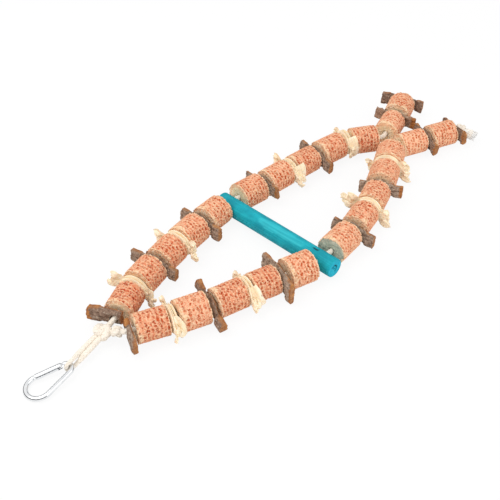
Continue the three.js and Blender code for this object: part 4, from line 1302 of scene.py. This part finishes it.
def make_hook():
    """The hook's body with nose and tongue, its gate, the gate's pin and the spring inside."""
    make_wire()
    nose = plate(NOSE_LENGTH, NOSE_WIDTH, TONGUE_THICKNESS)
    make_steel("hook_nose", *nose, "hook", lambda local: hook_world(NOSE + local @ NOSE_AXES))
    tongue = plate(np.linalg.norm(PIVOT - TONGUE) + TONGUE_RADIUS, 2 * TONGUE_RADIUS, TONGUE_THICKNESS)
    piece = make_steel("hook_tongue", *tongue, "hook", lambda local: hook_world(TONGUE + local @ GATE_AXES))
    cut_away(piece, rod_tool(hook_world(PIVOT), HOOK_AXES[2], PIN_RADIUS + PIN_CLEARANCE, 6))

    angles = np.linspace(0.05, math.pi / 2, 12)
    stops = [(-GATE_RADIUS * math.cos(a), GATE_RADIUS * math.sin(a)) for a in angles]
    stops += [(x, GATE_RADIUS) for x in np.linspace(0.8, GATE_LENGTH - 0.3, 16)]
    stops += [(GATE_LENGTH - 0.08, GATE_RADIUS - 0.08), (GATE_LENGTH, GATE_RADIUS - 0.3)]
    gate = make_steel("hook_gate_bar", *turned(stops, 32), "gate", gate_world)
    slot = TONGUE_THICKNESS + 2 * PIN_CLEARANCE
    fork_end = TONGUE_RADIUS + GATE_CLEARANCE
    axes = GATE_AXES @ HOOK_AXES
    fork = box_tool(gate_world((fork_end - 5, 0, 0)), axes, (10, 10, slot))
    floor = NOSE_WIDTH / 2 + PIN_CLEARANCE
    notch_at = gate_world((GATE_LENGTH, floor - GATE_RADIUS, 0))
    notch = box_tool(notch_at, axes, (2 * NOSE_LENGTH, 2 * GATE_RADIUS, slot))
    bore_at = gate_world((fork_end + SPRING_LENGTH / 2 - 0.2, 0, 0))
    bore = rod_tool(bore_at, axes[0], SPRING_RADIUS + 0.2, SPRING_LENGTH + 0.8)
    pin_hole = rod_tool(gate_world((0, 0, 0)), HOOK_AXES[2], PIN_RADIUS + 0.1, 12)
    cut_away(gate, fork, notch, bore, pin_hole)
    gate.data.set_sharp_from_angle(angle=math.radians(35))
    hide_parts("hook_gate")

    head = GATE_RADIUS - 0.05
    half_pin = [(head - 0.1, PIN_RADIUS), (head, PIN_RADIUS - 0.1), (head + 0.12, 0.35)]
    stops = [(-x, r) for x, r in half_pin[::-1]] + half_pin
    pin = turned(stops, 20)
    piece = make_steel("gate_pin_rivet", *pin, "hook", lambda local: hook_world(PIVOT + local @ PIN_AXES))
    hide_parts("gate_pin")

    t = np.linspace(0, 1, SPRING_TURNS * 12 + 1)
    turn = 2 * math.pi * SPRING_TURNS * t
    wide = SPRING_RADIUS - 0.2
    coil = spots(fork_end + 0.3 + t * (SPRING_LENGTH - 0.6), wide * np.cos(turn), wide * np.sin(turn))
    net = tube_net(coil, SPRING_WIRE_RADIUS, 5)
    faces = tube_faces(len(coil), 5)
    spring = make_steel("gate_spring_coil", net.reshape(-1, 3), faces, "gate", gate_world, None)
    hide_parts("gate_spring")


# How warm each cob is, from pale salmon to orange
TONES = {
    "left": (1.0, 0.75, 0.65, 0.55, 0.5, 0.55, 0.4, 0.7, 0.45, 0.6, 0.3, 0.5),
    "right": (0.8, 0.3, 0.75, 0.85, 0.25, 0.25, 0.5, 0.55, 0.6, 0.45, 0.3, 0.4),
}

# How brown each bark strip is, the lengths at its left and right ends that have lost their crust, the
# thickness of its free ends, and extra thickness
BARKS = {
    "left": (
        (0.9, (3, 0), 5.5, 3.0), (0.45, (0, 0), 4.8, 0.8), (0.5, (0, 0), 4.8, 0.8), (0.35, (0, 2.5), 3.6),
        (0.6, (0, 0), 4.8, 0.8), (0.5, (0, 4), 3.2), (0.8, (0, 0), 4.8, 0.8),
    ),
    "right": (
        (0.6, (6, 0), 4.0, 1.0), (0.75, (1.5, 0), 5.2, 1.4), (0.1, (0, 2), 4.2, 0.6), (0.4, (0, 0), 4.0, 0.6),
        (0.2, (0, 2.5), 3.6), (0.7, (0, 2)), (0.85, (0, 2)),
    ),
}

# The half widths of each husk's left and right ends, the droop and the lean of the right one, and their
# lumpiness. Then its lobes: the end, the angle, length, half width, and rise along the cord. Then, for some,
# a flap: the end, two angles below level, its reach, and the shares of the reach at its upper edge, middle
# and lower edge
HUSKS = {
    "left": (
        ((4.0, 3.5), 0.5, 0.0, (0.3, 0.6), (
            (1, 34, 13, 6.2, -2.2), (1, 0, 13, 6.0, -1.2), (-1, 28, 8, 4.4, -2.0), (-1, 0, 11, 4.4, -1.2),
            (-1, -24, 13, 4.6, -2.4))),
        ((3.5, 3.5), 0.5, 0.0, (0.5, 0.5), (
            (1, 26, 14, 4.4, -1.6), (1, -12, 11, 4.0, -2.2), (-1, 20, 12, 4.6, -1.2),
            (-1, -20, 14, 4.8, -2.2))),
        ((3.0, 3.5), 0.5, 0.5, (0.3, 0.5), (
            (1, 28, 12, 3.8, -1.4), (-1, 0, 12, 4.8, -1.8)), (-1, -52, 42, 9.0, (1.0, 0.95, 0.3))),
        ((3.5, 3.5), 0.0, 0.0, (0.3, 0.3), (
            (1, 30, 9, 4.6, -1.8), (-1, -10, 9, 4.6, -1.8)), (-1, -56, 44, 8.0, (0.9, 1.0, 0.8))),
    ),
    "right": (
        ((3.0, 3.5), 0.5, 0.0, (0.2, 0.3), (
            (1, 24, 11, 3.6, -1.6), (-1, 14, 10, 5.0, -1.4), (-1, -24, 10.5, 5.2, -2.2)),
            (-1, -58, 42, 7.0, (0.35, 1.0, 0.5))),
        ((3.0, 3.5), 0.5, 0.0, (0.3, 0.3), (
            (1, 26, 10, 4.4, -1.6), (-1, 0, 11, 4.8, -1.6)), (-1, -60, 44, 12.0, (0.4, 0.7, 1.0))),
        ((3.5, 3.0), 0.5, 0.0, (0.6, 0.4), (
            (1, 44, 16, 5.2, -2.4), (1, 8, 16, 5.4, -1.2), (-1, 22, 11, 5.0, -2.4),
            (-1, -20, 14, 6.6, -1.4))),
        ((3.0, 3.0), 0.5, 0.0, (0.4, 0.6), (
            (1, 30, 11, 4.0, -1.8), (-1, 26, 11, 4.6, -1.4), (-1, -6, 12, 5.0, -2.4),
            (-1, -38, 16, 5.4, -1.4))),
    ),
}

for side in SIDES:
    for number, tone in enumerate(TONES[side], 1):
        node = f"{side}_cob_{number}"
        make_cob(node, tone, STAIN if node == STAINED_COB else 0.0)
    for number, kind in enumerate(BARKS[side], 1):
        make_bark(f"{side}_bark_{number}", *kind)
    for number, shape in enumerate(HUSKS[side], 1):
        make_husk(f"{side}_husk_{number}", *shape)
    make_strand(side)
make_hanger()
make_perch()
make_hook()


# Floor, light and camera

def seen_rays(tree):
    """1 for what the camera sees, directly, mirrored or through glass."""
    rays = put(tree, "LightPath").outputs
    mirrored = maths(tree, "MAXIMUM", rays["Is Glossy Ray"], rays["Is Transmission Ray"])
    return maths(tree, "MAXIMUM", rays["Is Camera Ray"], mirrored)


def make_floor():
    """A pale floor that fades into the white surround."""
    bpy.ops.mesh.primitive_plane_add(size=12)
    floor = bpy.context.object
    floor.name = "studio_floor"
    material = bpy.data.materials.new("pale floor")
    tree = emptied(material)
    paper = put(tree, "BsdfDiffuse", {"Color": (0.9, 0.9, 0.9, 1)})
    white = put(tree, "Emission", {"Color": (1, 1, 1, 1), "Strength": 1.0})
    share = maths(tree, "MULTIPLY", seen_rays(tree), 0.9)
    mix = put(tree, "MixShader", {0: share, 1: paper.outputs[0], 2: white.outputs[0]})
    put(tree, "OutputMaterial", {"Surface": mix.outputs[0]})
    floor.data.materials.append(material)


def make_screen():
    """A low dark screen all round, which only the plated wire mirrors."""
    columns, reach = 64, 1400
    turn = turns(columns)
    rings = [spots(reach * np.cos(turn), reach * np.sin(turn), z) for z in (60, 620)]
    screen = new_object("dark_screen", np.concatenate(rings), grid_faces(2, columns))
    black = bpy.data.materials.new("dark screen")
    tree = emptied(black)
    shade = put(tree, "Emission", {"Color": (0.03, 0.03, 0.035, 1), "Strength": 1.0})
    put(tree, "OutputMaterial", {"Surface": shade.outputs[0]})
    screen.data.materials.append(black)
    for ray in ("camera", "diffuse", "transmission", "volume_scatter", "shadow"):
        setattr(screen, f"visible_{ray}", False)


def make_light():
    """A white surround, and soft light from above."""
    world = bpy.data.worlds.new("studio surround")
    bpy.context.scene.world = world
    tree = emptied(world)
    lit = put(tree, "Background", {"Color": (1, 1, 1, 1), "Strength": 0.88})
    plain = put(tree, "Background", {"Color": (1, 1, 1, 1), "Strength": 1.0})
    mix = put(tree, "MixShader", {0: seen_rays(tree), 1: lit.outputs[0], 2: plain.outputs[0]})
    put(tree, "OutputWorld", {"Surface": mix.outputs[0]})
    for name, place, size, power in (
        ("key light", (-0.5, 0.15, 0.95), 0.7, 4.5),
        ("fill light", (0.25, -1.0, 0.5), 0.9, 2.6),
    ):
        lamp = bpy.data.lights.new(name, "AREA")
        lamp.size = size
        lamp.energy = power
        shown = bpy.data.objects.new(name, lamp)
        shown.location = place
        shown.rotation_euler = (-Vector(place)).to_track_quat("-Z", "Y").to_euler()
        bpy.context.scene.collection.objects.link(shown)


def make_camera():
    forward = Vector((
        math.cos(VIEW_SLOPE) * math.sin(VIEW_TURN),
        math.cos(VIEW_SLOPE) * math.cos(VIEW_TURN),
        -math.sin(VIEW_SLOPE),
    ))
    data = bpy.data.cameras.new("photograph's view")
    data.lens = VIEW_LENS
    data.sensor_width = 36
    camera = bpy.data.objects.new("photograph's view", data)
    camera.location = VIEW_TARGET - forward * VIEW_DISTANCE
    camera.rotation_euler = forward.to_track_quat("-Z", "Y").to_euler()
    bpy.context.scene.collection.objects.link(camera)
    bpy.context.scene.camera = camera


make_floor()
make_screen()
make_light()
make_camera()
bpy.context.scene.view_settings.view_transform = "Standard"
